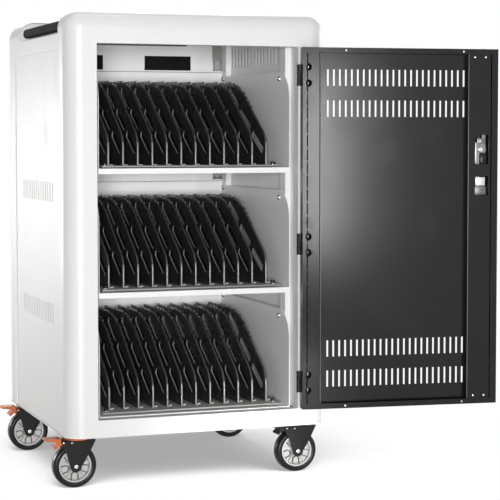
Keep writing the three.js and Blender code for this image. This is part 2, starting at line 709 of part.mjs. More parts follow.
function doorPanel() {
  const skin = prism('y', [DOOR_FACE, DOOR_FACE + SHEET], rectangle(DOOR_FAR, DOOR_EDGE, DOOR_BOTTOM, DOOR_TOP), [
    ...doorVents(),
    disc(SPINDLE_X, SPINDLE_Z, SPINDLE_RADIUS + PIN_PLAY, 12),
  ]);
  const edges = prism('y', [DOOR_FACE, DOOR_INNER], rectangle(DOOR_FAR, DOOR_EDGE, DOOR_BOTTOM, DOOR_TOP), [
    rectangle(DOOR_FAR + SHEET, DOOR_EDGE - SHEET, DOOR_BOTTOM + SHEET, DOOR_TOP - SHEET),
  ]);
  const lip = prism('y', [DOOR_INNER - SHEET, DOOR_INNER], rectangle(DOOR_FAR, DOOR_EDGE, DOOR_BOTTOM, DOOR_TOP), [
    rectangle(
      DOOR_FAR + DOOR_LIP_LOCK, DOOR_EDGE - DOOR_LIP_HINGE, DOOR_BOTTOM + DOOR_LIP_END, DOOR_TOP - DOOR_LIP_END,
    ),
  ]);
  const guideY = widened(ROD_Y, PIN_PLAY);
  return cut(
    fuse(skin, edges, lip),
    ...accessHoles(),
    box(widened(UPPER_ROD_X, PIN_PLAY), guideY, [DOOR_TOP - SHEET - 1, DOOR_TOP + 1]),
    box(widened(LOWER_ROD_X, PIN_PLAY), guideY, [DOOR_BOTTOM - 1, DOOR_BOTTOM + SHEET + 1]),
  );
}

// A folded stiffener inside the door: a face under the lips and two legs standing on the skin.
function doorChannel([x0, x1]) {
  const foot = DOOR_FACE + SHEET + REST;
  const face = DOOR_INNER - SHEET - REST;
  const section = [
    [x0, foot],
    [x0 + SHEET, foot],
    [x0 + SHEET, face - SHEET],
    [x1 - SHEET, face - SHEET],
    [x1 - SHEET, foot],
    [x1, foot],
    [x1, face],
    [x0, face],
  ];
  return prism('z', [DOOR_BOTTOM + SHEET + REST, DOOR_TOP - SHEET - REST], section);
}

function hingeChannel() {
  const near = DOOR_EDGE - DOOR_LIP_HINGE - SEAM;
  return cut(doorChannel([near - HINGE_CHANNEL_WIDTH, near]), ...accessHoles());
}

function lockChannel() {
  const far = DOOR_FAR + LOCK_CHANNEL_EDGE;
  const half = LOCK_WINDOW_WIDTH / 2;
  const windows = LOCK_WINDOWS.map(([low, high]) => box(
    [SPINDLE_X - half, SPINDLE_X + half], [DOOR_INNER - SHEET * 3, DOOR_INNER], [SPINDLE_Z + low, SPINDLE_Z + high],
  ));
  return cut(doorChannel([far, far + LOCK_CHANNEL_WIDTH]), ...windows);
}

// Lift-off hinge: the lower barrel and pin stay on the stile, the upper barrel rides with the door.
function hingeLeafShape(side, low) {
  const leafY = [DOOR_FACE - REST - HINGE_LEAF_THICKNESS, DOOR_FACE - REST];
  const span = (a, b) => (side > 0 ? [a, b] : [-b, -a]);
  return fuse(
    box(span(HINGE_LEAF_RELIEF, HINGE_LEAF), leafY, [low, low + HINGE_HEIGHT]),
    box(
      span(0, HINGE_LEAF_RELIEF + 1),
      leafY,
      side > 0 ? [low, low + HINGE_HEIGHT / 2] : [low + HINGE_HEIGHT / 2 + REST, low + HINGE_HEIGHT],
    ),
  );
}

function fixedLeaf(low) {
  const half = low + HINGE_HEIGHT / 2;
  return fuse(
    hingeLeafShape(1, low),
    prism('z', [low, half], disc(0, 0, HINGE_BARREL, 10)),
    prism('z', [half - 1, low + HINGE_HEIGHT - SHEET * 2], disc(0, 0, HINGE_PIN, 8)),
  );
}

function doorKnuckle(low) {
  const half = low + HINGE_HEIGHT / 2;
  return cut(
    fuse(
      hingeLeafShape(-1, low),
      prism('z', [half + REST, low + HINGE_HEIGHT], disc(0, 0, HINGE_BARREL, 10)),
    ),
    prism('z', [half - 1, low + HINGE_HEIGHT - SHEET], disc(0, 0, HINGE_PIN + PIN_PLAY, 8)),
  );
}

// Lock

const ESCUTCHEON_FACE = DOOR_FACE - REST - ESCUTCHEON_DEPTH;
const HUB_FACE = ESCUTCHEON_FACE - PIN_PLAY - HUB_DEPTH;
const EAR_FACE = HUB_FACE - EAR_DEPTH;
const LEVER_PIN_Y = HUB_FACE - PIN_PLAY - LEVER_THICKNESS / 2;
const KEY_Z = SPINDLE_Z - KEY_DROP;

function escutcheon() {
  const outline = roundedRectangle(
    SPINDLE_X - ESCUTCHEON_WIDTH / 2,
    SPINDLE_X + ESCUTCHEON_WIDTH / 2,
    SPINDLE_Z - ESCUTCHEON_BELOW,
    SPINDLE_Z + ESCUTCHEON_ABOVE,
    ESCUTCHEON_WIDTH / 3,
    4,
  );
  return prism('y', [ESCUTCHEON_FACE, ESCUTCHEON_FACE + ESCUTCHEON_DEPTH], outline, [
    disc(SPINDLE_X, SPINDLE_Z, SPINDLE_RADIUS + PIN_PLAY, 12),
    disc(SPINDLE_X, KEY_Z, KEY_RADIUS + PIN_PLAY, 14),
  ]);
}

function spindle() {
  const ear = cut(
    box(
      [SPINDLE_X - EAR_WIDTH / 2, SPINDLE_X + EAR_WIDTH / 2],
      [EAR_FACE, HUB_FACE + 1],
      [SPINDLE_Z - EAR_WIDTH / 2, SPINDLE_Z + EAR_WIDTH / 2],
    ),
    prism(
      'z', [SPINDLE_Z - EAR_WIDTH, SPINDLE_Z + EAR_WIDTH], disc(SPINDLE_X, LEVER_PIN_Y, LEVER_PIN + PIN_PLAY, 10),
    ),
  );
  return fuse(
    prism('y', [HUB_FACE + 1, DISC_BACK - 1], disc(SPINDLE_X, SPINDLE_Z, SPINDLE_RADIUS, 12)),
    prism('y', [HUB_FACE, HUB_FACE + HUB_DEPTH], disc(SPINDLE_X, SPINDLE_Z, HUB_RADIUS, 12)),
    prism('y', [DISC_BACK - DRIVE_DISC_THICKNESS, DISC_BACK], disc(SPINDLE_X, SPINDLE_Z, DRIVE_DISC_RADIUS, 14)),
    ear,
  );
}

// The lever lies level while the bolts are drawn; its forked end straddles the ear of the spindle.
function lever() {
  const half = LEVER_THICKNESS / 2;
  const tip = SPINDLE_X + LEVER_LENGTH;
  const side = [
    ...arc(SPINDLE_X, LEVER_PIN_Y, half, 90, 270, 6),
    [tip - half, LEVER_PIN_Y - half],
    [tip, LEVER_PIN_Y],
    [tip, LEVER_PIN_Y + half],
  ];
  const slotHalf = EAR_WIDTH / 2 + PIN_PLAY;
  const reach = Math.hypot(EAR_WIDTH / 2, EAR_DEPTH) + PIN_PLAY;
  return fuse(
    cut(
      prism('z', [SPINDLE_Z - LEVER_WIDTH / 2, SPINDLE_Z + LEVER_WIDTH / 2], side),
      box(
        [SPINDLE_X - LEVER_WIDTH, SPINDLE_X + reach],
        [EAR_FACE - LEVER_WIDTH, HUB_FACE],
        [SPINDLE_Z - slotHalf, SPINDLE_Z + slotHalf],
      ),
    ),
    prism('z', [SPINDLE_Z - slotHalf - 1, SPINDLE_Z + slotHalf + 1], disc(SPINDLE_X, LEVER_PIN_Y, LEVER_PIN, 10)),
  );
}

function keyCylinder() {
  const face = ESCUTCHEON_FACE - KEY_PROUD;
  return cut(
    prism('y', [face, DOOR_FACE - REST], disc(SPINDLE_X, KEY_Z, KEY_RADIUS, 14)),
    box(
      [SPINDLE_X - SHEET / 2, SPINDLE_X + SHEET / 2],
      [face - 1, face + SKIN],
      [KEY_Z - KEY_RADIUS * 0.6, KEY_Z + KEY_RADIUS * 0.6],
    ),
  );
}

const upperRod = () => box(UPPER_ROD_X, ROD_Y, [SPINDLE_Z - ROD_OFFSET, DOOR_TOP + ROD_STUB]);
const lowerRod = () => box(LOWER_ROD_X, ROD_Y, [DOOR_BOTTOM - ROD_STUB, SPINDLE_Z + ROD_OFFSET]);

// Rear door, drawn shut, hung on two pivot pins in the rear frame

const REAR_DOOR_HALF = REAR_OPENING_HALF - REAR_DOOR_GAP;
const REAR_DOOR_BOTTOM = REAR_SILL + REAR_DOOR_GAP;
const REAR_DOOR_TOP = REAR_HEAD - REAR_DOOR_GAP;
const CAM_X = -REAR_DOOR_HALF + CAM_EDGE;
const CAM_Z = (REAR_SILL + REAR_HEAD) / 2;

function rearDoor() {
  const rows = [REAR_DOOR_TOP - REAR_VENT_HEIGHT * 2, REAR_DOOR_BOTTOM + REAR_VENT_HEIGHT];
  const first = -((REAR_VENT_COUNT - 1) * REAR_VENT_PITCH) / 2;
  const vents = rows.flatMap((low) => Array.from({ length: REAR_VENT_COUNT }, (_, i) => {
    const x = first + i * REAR_VENT_PITCH;
    return rectangle(x - REAR_VENT_WIDTH / 2, x + REAR_VENT_WIDTH / 2, low, low + REAR_VENT_HEIGHT);
  }));
  const outline = rectangle(-REAR_DOOR_HALF, REAR_DOOR_HALF, REAR_DOOR_BOTTOM, REAR_DOOR_TOP);
  const skin = prism('y', [BACK - SHEET, BACK], outline, [...vents, disc(CAM_X, CAM_Z, CAM_BARREL + PIN_PLAY, 14)]);
  const edges = prism('y', [BACK - REAR_DOOR_DEPTH, BACK], outline, [
    rectangle(
      -REAR_DOOR_HALF + SHEET, REAR_DOOR_HALF - SHEET, REAR_DOOR_BOTTOM + SHEET, REAR_DOOR_TOP - SHEET,
    ),
  ]);
  const pin = disc(REAR_PIVOT_X, REAR_PIVOT_Y, REAR_PIVOT_RADIUS, 12);
  return fuse(
    skin,
    edges,
    prism('z', [REAR_DOOR_TOP - SHEET, REAR_DOOR_TOP + REAR_PIVOT_LENGTH], pin),
    prism('z', [REAR_DOOR_BOTTOM - REAR_PIVOT_LENGTH, REAR_DOOR_BOTTOM + SHEET], pin),
  );
}

// Cam lock with its tongue hanging down, clear of the jamb.
function rearCam() {
  const tongueBack = BACK - REAR_JAMB_DEPTH - CAM_JAMB_GAP;
  const half = CAM_TONGUE_WIDTH / 2;
  return fuse(
    prism('y', [BACK + REST, BACK + REST + CAM_HEAD_DEPTH], disc(CAM_X, CAM_Z, CAM_HEAD, 16)),
    prism('y', [tongueBack - 1, BACK + REST + 1], disc(CAM_X, CAM_Z, CAM_BARREL, 14)),
    box(
      [CAM_X - half, CAM_X + half],
      [tongueBack - CAM_TONGUE_THICKNESS, tongueBack],
      [CAM_Z - CAM_TONGUE, CAM_Z + half],
    ),
  );
}

// Casters, drawn round the swivel axis with the floor at zero

const PLATE_BOTTOM = CASTER_HEIGHT - PLATE_THICKNESS;
const RACE_BOTTOM = PLATE_BOTTOM - RACE_HEIGHT;
const RING_TOP = RACE_BOTTOM - REST;
const CROWN_TOP = RING_TOP - RING_HEIGHT;
const CROWN_BOTTOM = CROWN_TOP - CROWN_HEIGHT;
const LEG_INNER = WHEEL_WIDTH / 2 + FORK_GAP;
const LEG_OUTER = LEG_INNER + FORK_SHEET;
const CROWN_FRONT = CROWN_AHEAD + WHEEL_TRAIL;
const CROWN_REAR = CROWN_BEHIND - WHEEL_TRAIL;
const PEDAL_PIVOT = [-CROWN_FRONT + 7, CROWN_BOTTOM - 5.2];
const TYRE_SEGMENTS = 20;

function casterPlate() {
  const half = PLATE_SIZE / 2;
  return fuse(
    prism('z', [PLATE_BOTTOM, CASTER_HEIGHT], roundedRectangle(-half, half, -half, half, 9, 1)),
    prism('z', [RACE_BOTTOM, PLATE_BOTTOM + 1], disc(0, 0, RACE_RADIUS, 12)),
  );
}

function casterFork() {
  const axle = WHEEL_RADIUS;
  const leg = [
    [-CROWN_FRONT, CROWN_TOP],
    [-CROWN_FRONT, CROWN_BOTTOM - 10],
    [-WHEEL_TRAIL - 22, axle + 30],
    ...arc(-WHEEL_TRAIL, axle, 14, 180, 360, 4),
    [CROWN_REAR - 14, CROWN_BOTTOM - 27],
    [CROWN_REAR, CROWN_BOTTOM],
    [CROWN_REAR, CROWN_TOP],
  ];
  const bolt = disc(-WHEEL_TRAIL, axle, AXLE_HEAD, 6);
  return fuse(
    box([-CROWN_FRONT, CROWN_REAR], [-LEG_OUTER, LEG_OUTER], [CROWN_BOTTOM, CROWN_TOP]),
    prism('z', [CROWN_TOP - 1, RING_TOP], disc(0, 0, RING_RADIUS, 12)),
    prism('y', [-LEG_OUTER, -LEG_INNER], leg),
    prism('y', [LEG_INNER, LEG_OUTER], leg),
    prism('y', [-LEG_OUTER, LEG_OUTER], disc(-WHEEL_TRAIL, axle, AXLE_RADIUS, 8)),
    prism('y', [-LEG_OUTER - FORK_SHEET, -LEG_OUTER], bolt),
    prism('y', [LEG_OUTER, LEG_OUTER + FORK_SHEET], bolt),
  );
}

function casterWheel() {
  const rim = WHEEL_WIDTH / 2 - 2;
  const boss = WHEEL_WIDTH / 2 + FORK_GAP - PIN_PLAY;
  const bore = AXLE_RADIUS + PIN_PLAY;
  const web = HUB_WEB / 2;
  return turned([
    [bore, -boss],
    [HUB_BOSS_RADIUS, -boss],
    [HUB_BOSS_RADIUS, -web],
    [HUB_RIM_RADIUS - 4, -web],
    [HUB_RIM_RADIUS - 4, -rim],
    [HUB_RIM_RADIUS, -rim],
    [HUB_RIM_RADIUS, rim],
    [HUB_RIM_RADIUS - 4, rim],
    [HUB_RIM_RADIUS - 4, web],
    [HUB_BOSS_RADIUS, web],
    [HUB_BOSS_RADIUS, boss],
    [bore, boss],
  ], 12, -WHEEL_TRAIL, WHEEL_RADIUS);
}

function casterTyre() {
  const half = WHEEL_WIDTH / 2;
  const inner = HUB_RIM_RADIUS / Math.cos(Math.PI / TYRE_SEGMENTS) + REST;
  return turned([
    [inner, -half + 1],
    [WHEEL_RADIUS - 6, -half],
    [WHEEL_RADIUS, -half + 7],
    [WHEEL_RADIUS, half - 7],
    [WHEEL_RADIUS - 6, half],
    [inner, half - 1],
  ], TYRE_SEGMENTS, -WHEEL_TRAIL, WHEEL_RADIUS);
}

// The pedal: a long tread to press and a short one underneath to lift, on a pin between the fork legs.
function casterBrake() {
  const [px, pz] = PEDAL_PIVOT;
  const half = PEDAL_THICKNESS / 2;
  const width = LEG_INNER - REST * 4;
  const outline = [
    [px + half, pz - half],
    [px + half, pz + half],
    [px - 14, pz + half],
    [px - 47, pz + 14],
    [px - 49, pz + 9],
    [px - 19, pz - half],
    [px - 25, pz - 11.5],
    [px - 20, pz - 14],
    [px - 11, pz - half],
  ];
  return fuse(
    prism('y', [-width, width], outline),
    prism('y', [-LEG_INNER + REST, LEG_INNER - REST], disc(px, pz, PEDAL_PIN, 8)),
  );
}

// Assembly

const cabinet = new THREE.Group();
addPiece(cabinet, 'front_frame', frontFrame(), 'enamel');
addPiece(cabinet, 'rear_frame', rearFrame(), 'enamel');
addPiece(cabinet, 'top_cap', topCap(), 'enamel');
addPiece(cabinet, 'base_pan', basePan(), 'sideEnamel');
const rightPanel = sidePanel();
addPiece(cabinet, 'right_side_panel', rightPanel, 'sideEnamel');
addPiece(cabinet, 'left_side_panel', rightPanel.mirror([1, 0, 0]), 'sideEnamel');
const leftGrip = gripBar();
addPiece(cabinet, 'left_grip_bar', leftGrip, 'blackPlastic');
addPiece(cabinet, 'right_grip_bar', leftGrip.mirror([1, 0, 0]), 'blackPlastic');
addPiece(cabinet, 'partition', partition(), 'trayEnamel');
['bottom', 'middle', 'top'].forEach((name, bay) => {
  addPiece(cabinet, `tray_${name}`, tray(trayLevel(bay)), 'trayEnamel');
  addPiece(cabinet, `divider_rack_${name}`, dividerRack(trayLevel(bay)), 'blackPlastic');
  addPiece(cabinet, `power_strip_${name}`, powerStrip(trayLevel(bay)), 'blackPlastic');
});
[['left', -1], ['right', 1]].forEach(([name, side]) => {
  addPiece(cabinet, `upright_front_${name}`, upright(side, FRONT + FRONT_POST_SETBACK), 'trayEnamel');
  addPiece(cabinet, `upright_rear_${name}`, upright(side, TRAY_REAR - POST_DEPTH), 'trayEnamel');
});
addPiece(cabinet, 'power_inlet', powerInlet(), 'blackPlastic');

const hingeAxis = new THREE.Group();
hingeAxis.position.set(HINGE_X, HINGE_Y, 0);
cabinet.add(hingeAxis);

const door = new THREE.Group();
door.rotation.z = THREE.MathUtils.degToRad(DOOR_OPEN_DEG);
hingeAxis.add(door);
['top', 'middle', 'bottom'].forEach((name, i) => {
  const low = HINGE_LEVELS[i] - HINGE_HEIGHT / 2;
  addPiece(hingeAxis, `hinge_leaf_${name}`, fixedLeaf(low), 'blackSteel');
  addPiece(door, `door_knuckle_${name}`, doorKnuckle(low), 'blackSteel');
});
addPiece(door, 'door_panel', doorPanel(), 'doorEnamel');
addPiece(door, 'door_hinge_channel', hingeChannel(), 'doorEnamel');
addPiece(door, 'door_lock_channel', lockChannel(), 'doorEnamel');
addPiece(door, 'handle_escutcheon', escutcheon(), 'blackPlastic');
addPiece(door, 'lock_spindle', spindle(), 'zinc');
addPiece(door, 'swing_handle', lever(), 'blackPlastic');
addPiece(door, 'key_cylinder', keyCylinder(), 'chrome');
addPiece(door, 'lock_rod_upper', upperRod(), 'zinc');
addPiece(door, 'lock_rod_lower', lowerRod(), 'zinc');

addPiece(cabinet, 'rear_door', rearDoor(), 'enamel');
addPiece(cabinet, 'rear_cam_lock', rearCam(), 'chrome');

const casterPieces = [
  ['plate', casterPlate(), 'blackSteel'],
  ['fork', casterFork(), 'blackSteel'],
  ['wheel', casterWheel(), 'hubGrey'],
  ['tyre', casterTyre(), 'rubber'],
  ['brake', casterBrake(), 'orange'],
];
[['front_left', -1, FRONT + CASTER_INSET_FRONT], ['front_right', 1, FRONT + CASTER_INSET_FRONT],
  ['rear_left', -1, BACK - CASTER_INSET_REAR], ['rear_right', 1, BACK - CASTER_INSET_REAR]].forEach(
  ([name, side, y]) => {
    const caster = new THREE.Group();
    caster.position.set(side * (SIDE - CASTER_INSET_SIDE), y, 0);
    casterPieces.forEach(([piece, solid, finish]) => addPiece(caster, `caster_${piece}_${name}`, solid, finish));
    cabinet.add(caster);
  },
);

// The shared frame: the origin lies on the floor under the middle of the whole cart as it stands.
const cart = new THREE.Group();
cart.add(cabinet);
cart.updateMatrixWorld(true);
const middle = new THREE.Box3().setFromObject(cart, true).getCenter(new THREE.Vector3());
cabinet.position.set(-middle.x, -middle.y, 0);

export default cart;
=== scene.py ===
# %% [markdown]
# # A laptop charging cart
# The cart is a rounded white cabinet on four braked casters. Its charcoal door stands open and shows three bays of
# black dividers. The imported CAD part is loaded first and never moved: it is the frame that every finished piece is
# fitted to. Working round a fixed frame, and not by eye, is what keeps the moving pieces on their hinges later.

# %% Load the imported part
from math import cos, pi, radians, sin

import bmesh
import bpy
from mathutils import Matrix, Vector


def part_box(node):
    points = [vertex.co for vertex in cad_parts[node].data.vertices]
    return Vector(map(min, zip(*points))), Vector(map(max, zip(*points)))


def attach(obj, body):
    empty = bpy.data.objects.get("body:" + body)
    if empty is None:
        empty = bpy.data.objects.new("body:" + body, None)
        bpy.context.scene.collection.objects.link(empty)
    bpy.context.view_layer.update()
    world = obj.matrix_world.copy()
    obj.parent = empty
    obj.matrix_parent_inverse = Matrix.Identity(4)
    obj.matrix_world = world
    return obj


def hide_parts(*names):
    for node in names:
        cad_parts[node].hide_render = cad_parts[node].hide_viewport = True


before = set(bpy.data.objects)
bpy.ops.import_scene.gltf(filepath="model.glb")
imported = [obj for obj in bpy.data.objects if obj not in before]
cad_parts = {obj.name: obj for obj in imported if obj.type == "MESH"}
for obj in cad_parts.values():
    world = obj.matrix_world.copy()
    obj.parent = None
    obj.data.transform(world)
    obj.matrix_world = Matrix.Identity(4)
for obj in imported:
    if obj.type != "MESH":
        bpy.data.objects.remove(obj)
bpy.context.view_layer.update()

# %% [markdown]
# ## Two work benches
# Makers' drawings are in millimetres from the middle of the cabinet, and the door is drawn shut with its hinge axis
# at zero. A matrix for each of these benches takes a drawing to its place, so no piece has to be worked out at an
# angle: a door piece is drawn flat and the bench swings it open by the same 172.5 degrees as the CAD door.

# %% Benches
frame_low, frame_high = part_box("front_frame")
CABINET = Matrix.Translation(((frame_low.x + frame_high.x) / 2, frame_low.y + 0.325, 0)) @ Matrix.Scale(0.001, 4)
DOOR = CABINET @ Matrix.Translation((251, -331, 0)) @ Matrix.Rotation(radians(172.5), 4, "Z")
print("cabinet middle at", CABINET.translation, "door axis at", DOOR.translation)

# %% [markdown]
# ## Camera
# The picture was taken from the front left, a little below the top of the cart, with a long lens. The view was found
# by fitting the corners of the cabinet and the door, so proportions can be compared line by line. A small downward
# shift keeps the uprights nearly parallel, as a product photographer does with a shift lens.

# %% Camera
scene = bpy.context.scene
camera = bpy.data.objects.new("camera", bpy.data.cameras.new("camera"))
scene.collection.objects.link(camera)
camera.location = CABINET @ Vector((-1257.1, -4096.1, 845.6))
camera.rotation_euler = (radians(90 - 2.982), 0, radians(-20.144))
camera.data.sensor_width = 36
camera.data.lens = 120.2
camera.data.shift_y = -0.06
camera.data.clip_end = 60
scene.camera = camera
scene.view_settings.view_transform = "Standard"
print("camera looks", camera.rotation_euler.to_matrix() @ Vector((0, 0, -1)))

# %% [markdown]
# ## Light
# The cart stands in a white studio. A far soft box near the camera lights the bays evenly, because what the camera
# sees the lamp sees too. A tall strip on the front right is mirrored in the door as its soft sheen. Gridded light from
# the back left draws the side apart from the front, and two boxes behind keep the back and the right side readable.
# The world is plain white for the camera and for reflections, and dim as a lamp, so white paint keeps its own value.

# %% World and lamps
world = bpy.data.worlds.new("white_studio")
world.use_nodes = True
scene.world = world
tree = world.node_tree
tree.nodes.clear()
rays = tree.nodes.new("ShaderNodeLightPath")
seen = tree.nodes.new("ShaderNodeMath")
seen.operation = "MAXIMUM"
shown = tree.nodes.new("ShaderNodeMath")
shown.operation = "MAXIMUM"
ambient = tree.nodes.new("ShaderNodeBackground")
ambient.inputs["Color"].default_value = (0.96, 0.98, 1, 1)
ambient.inputs["Strength"].default_value = 0.1
backdrop = tree.nodes.new("ShaderNodeBackground")
backdrop.inputs["Color"].default_value = (1, 1, 1, 1)
choice = tree.nodes.new("ShaderNodeMixShader")
out = tree.nodes.new("ShaderNodeOutputWorld")
tree.links.new(rays.outputs["Is Camera Ray"], seen.inputs[0])
tree.links.new(rays.outputs["Is Glossy Ray"], seen.inputs[1])
tree.links.new(seen.outputs[0], shown.inputs[0])
tree.links.new(rays.outputs["Is Transmission Ray"], shown.inputs[1])
tree.links.new(shown.outputs[0], choice.inputs[0])
tree.links.new(ambient.outputs[0], choice.inputs[1])
tree.links.new(backdrop.outputs[0], choice.inputs[2])
tree.links.new(choice.outputs[0], out.inputs["Surface"])


def soft_box(name, place, target, width, height, power, spread=180):
    lamp = bpy.data.lights.new(name, "AREA")
    lamp.shape = "RECTANGLE"
    lamp.size = width
    lamp.size_y = height
    lamp.energy = power
    lamp.spread = radians(spread)
    stand = bpy.data.objects.new(name, lamp)
    scene.collection.objects.link(stand)
    stand.location = place
    stand.rotation_euler = (Vector(target) - Vector(place)).to_track_quat("-Z", "Y").to_euler()
    return stand


soft_box("fill_box", (-2.7, -8.15, 0.8), (-0.15, 0, 0.6), 1.6, 1.4, 465)
soft_box("sheen_strip", (0.62, -4.4, 0.72), (0.1, -0.3, 0.75), 0.16, 0.9, 18.5)
soft_box("left_box", (-2.4, 3.2, 0.72), (-0.5, 0.05, 0.48), 0.8, 0.8, 2.5, 36)
soft_box("top_box", (-0.2, 0.1, 3.8), (-0.2, 0.1, 0), 1.4, 1.4, 22)
soft_box("back_box", (0.5, 3.4, 2.8), (-0.1, 0.3, 0.7), 1.8, 1.8, 70)
soft_box("low_box", (0.05, -3.2, 0.1), (-0.05, -0.3, 0.12), 0.3, 0.1, 0.26, 10)
soft_box("right_box", (3.8, 1.4, 1.3), (0.1, 0.0, 0.6), 1.5, 1.5, 52)

# %% [markdown]
# ## Floor
# The floor is a wide pale sheet. Seen straight on it has the white of the backdrop, so there is no horizon. The
# shadow under the cart is kept by an Ambient Occlusion node: it measures how open each spot of the floor is to the
# sky, and closed-in spots turn grey. A lamp's own shadow would change with every lamp; this one stays put.

# %% Floor
floor_bm = bmesh.new()
bmesh.ops.create_grid(floor_bm, x_segments=1, y_segments=1, size=15)
floor_mesh = bpy.data.meshes.new("studio_floor")
floor_bm.to_mesh(floor_mesh)
floor_bm.free()
floor = bpy.data.objects.new("studio_floor", floor_mesh)
scene.collection.objects.link(floor)
floor_paint = bpy.data.materials.new("floor_paint")
floor_paint.use_nodes = True
tree = floor_paint.node_tree
tree.nodes.clear()
rays = tree.nodes.new("ShaderNodeLightPath")
seen = tree.nodes.new("ShaderNodeMath")
seen.operation = "MAXIMUM"
shown = tree.nodes.new("ShaderNodeMath")
shown.operation = "MAXIMUM"
open_sky = tree.nodes.new("ShaderNodeAmbientOcclusion")
open_sky.samples = 24
open_sky.inputs["Distance"].default_value = 1.3
lean = tree.nodes.new("ShaderNodeCombineXYZ")
for axis, value in zip("XYZ", (0, -1.3, 0.7)):
    lean.inputs[axis].default_value = value
tone = tree.nodes.new("ShaderNodeMapRange")
tone.interpolation_type = "SMOOTHSTEP"
tone.inputs["From Min"].default_value = 0.5
tone.inputs["From Max"].default_value = 0.68
tone.inputs["To Min"].default_value = 0.395
lit = tree.nodes.new("ShaderNodeBsdfDiffuse")
lit.inputs["Color"].default_value = (0.85, 0.85, 0.85, 1)
glow = tree.nodes.new("ShaderNodeEmission")
choice = tree.nodes.new("ShaderNodeMixShader")
out = tree.nodes.new("ShaderNodeOutputMaterial")
tree.links.new(rays.outputs["Is Camera Ray"], seen.inputs[0])
tree.links.new(rays.outputs["Is Glossy Ray"], seen.inputs[1])
tree.links.new(seen.outputs[0], shown.inputs[0])
tree.links.new(rays.outputs["Is Transmission Ray"], shown.inputs[1])
tree.links.new(lean.outputs[0], open_sky.inputs["Normal"])
tree.links.new(open_sky.outputs["AO"], tone.inputs["Value"])
tree.links.new(tone.outputs["Result"], glow.inputs["Color"])
tree.links.new(shown.outputs[0], choice.inputs[0])
tree.links.new(lit.outputs[0], choice.inputs[1])
tree.links.new(glow.outputs[0], choice.inputs[2])
tree.links.new(choice.outputs[0], out.inputs["Surface"])
floor.data.materials.append(floor_paint)
print("floor", floor.dimensions)

# %% [markdown]
# ## Shared surface effects
# Three effects return on many finishes: the fine orange peel of powder coat, the spark-eroded grain of moulded
# plastic, and the faint cloudy marks that handling leaves. Each is a node group, built once, that puts out masks and
# heights only. The materials decide what to do with them, so one group serves white paint and black plastic alike.

# %% Node groups
def effect_group(name, inputs, outputs):
    group = bpy.data.node_groups.new(name, "ShaderNodeTree")
    for label, value in inputs:
        socket = group.interface.new_socket(label, in_out="INPUT", socket_type="NodeSocketFloat")
        socket.default_value = value
    for label in outputs:
        group.interface.new_socket(label, in_out="OUTPUT", socket_type="NodeSocketFloat")
    return group, group.nodes.new("NodeGroupInput"), group.nodes.new("NodeGroupOutput")


def object_noise(tree, scale, detail, roughness, squeeze=None):
    place = tree.nodes.new("ShaderNodeTexCoord")
    noise = tree.nodes.new("ShaderNodeTexNoise")
    noise.inputs["Detail"].default_value = detail
    noise.inputs["Roughness"].default_value = roughness
    vector = place.outputs["Object"]
    if squeeze:
        mapping = tree.nodes.new("ShaderNodeMapping")
        mapping.inputs["Scale"].default_value = squeeze
        tree.links.new(vector, mapping.inputs["Vector"])
        vector = mapping.outputs["Vector"]
    tree.links.new(vector, noise.inputs["Vector"])
    if isinstance(scale, (int, float)):
        noise.inputs["Scale"].default_value = scale
    else:
        tree.links.new(scale, noise.inputs["Scale"])
    return noise.outputs["Fac"]


def stretched(tree, value, low, high):
    ramp = tree.nodes.new("ShaderNodeMapRange")
    ramp.inputs["From Min"].default_value = low
    ramp.inputs["From Max"].default_value = high
    tree.links.new(value, ramp.inputs["Value"])
    return ramp.outputs["Result"]


peel, peel_in, peel_out = effect_group("orange_peel", [("Scale", 900.0)], ["Height", "Mottle"])
peel.links.new(object_noise(peel, peel_in.outputs["Scale"], 2, 0.5), peel_out.inputs["Height"])
peel.links.new(stretched(peel, object_noise(peel, 7, 3, 0.5), 0.3, 0.7), peel_out.inputs["Mottle"])

grain, grain_in, grain_out = effect_group("moulded_grain", [("Scale", 2200.0)], ["Height", "Mottle"])
grain.links.new(object_noise(grain, grain_in.outputs["Scale"], 4, 0.6), grain_out.inputs["Height"])
grain.links.new(stretched(grain, object_noise(grain, 30, 4, 0.6), 0.3, 0.7), grain_out.inputs["Mottle"])

marks, marks_in, marks_out = effect_group("handling_marks", [("Scale", 11.0)], ["Mask", "Scratch"])
marks.links.new(
    stretched(marks, object_noise(marks, marks_in.outputs["Scale"], 5, 0.62), 0.52, 0.74), marks_out.inputs["Mask"])
marks.links.new(
    stretched(marks, object_noise(marks, 60, 2, 0.5, (1, 1, 14)), 0.6, 0.75), marks_out.inputs["Scratch"])

brush, brush_in, brush_out = effect_group("plated_grain", [("Scale", 260.0)], ["Height", "Mottle"])
brush.links.new(object_noise(brush, brush_in.outputs["Scale"], 3, 0.6, (1, 1, 0.12)), brush_out.inputs["Height"])
brush.links.new(stretched(brush, object_noise(brush, 45, 3, 0.5), 0.35, 0.65), brush_out.inputs["Mottle"])
print("effects", [g.name for g in bpy.data.node_groups])

# %% [markdown]
# ## Finishes
# Every finish is a Principled shader fed by those groups: the mottle shifts the colour by a few per cent, the marks
# lift the roughness where hands have been, and the grain goes through a Bump node into the normal. Numbers that are
# the same all over, such as specular level or coat roughness, are set on the shader itself.

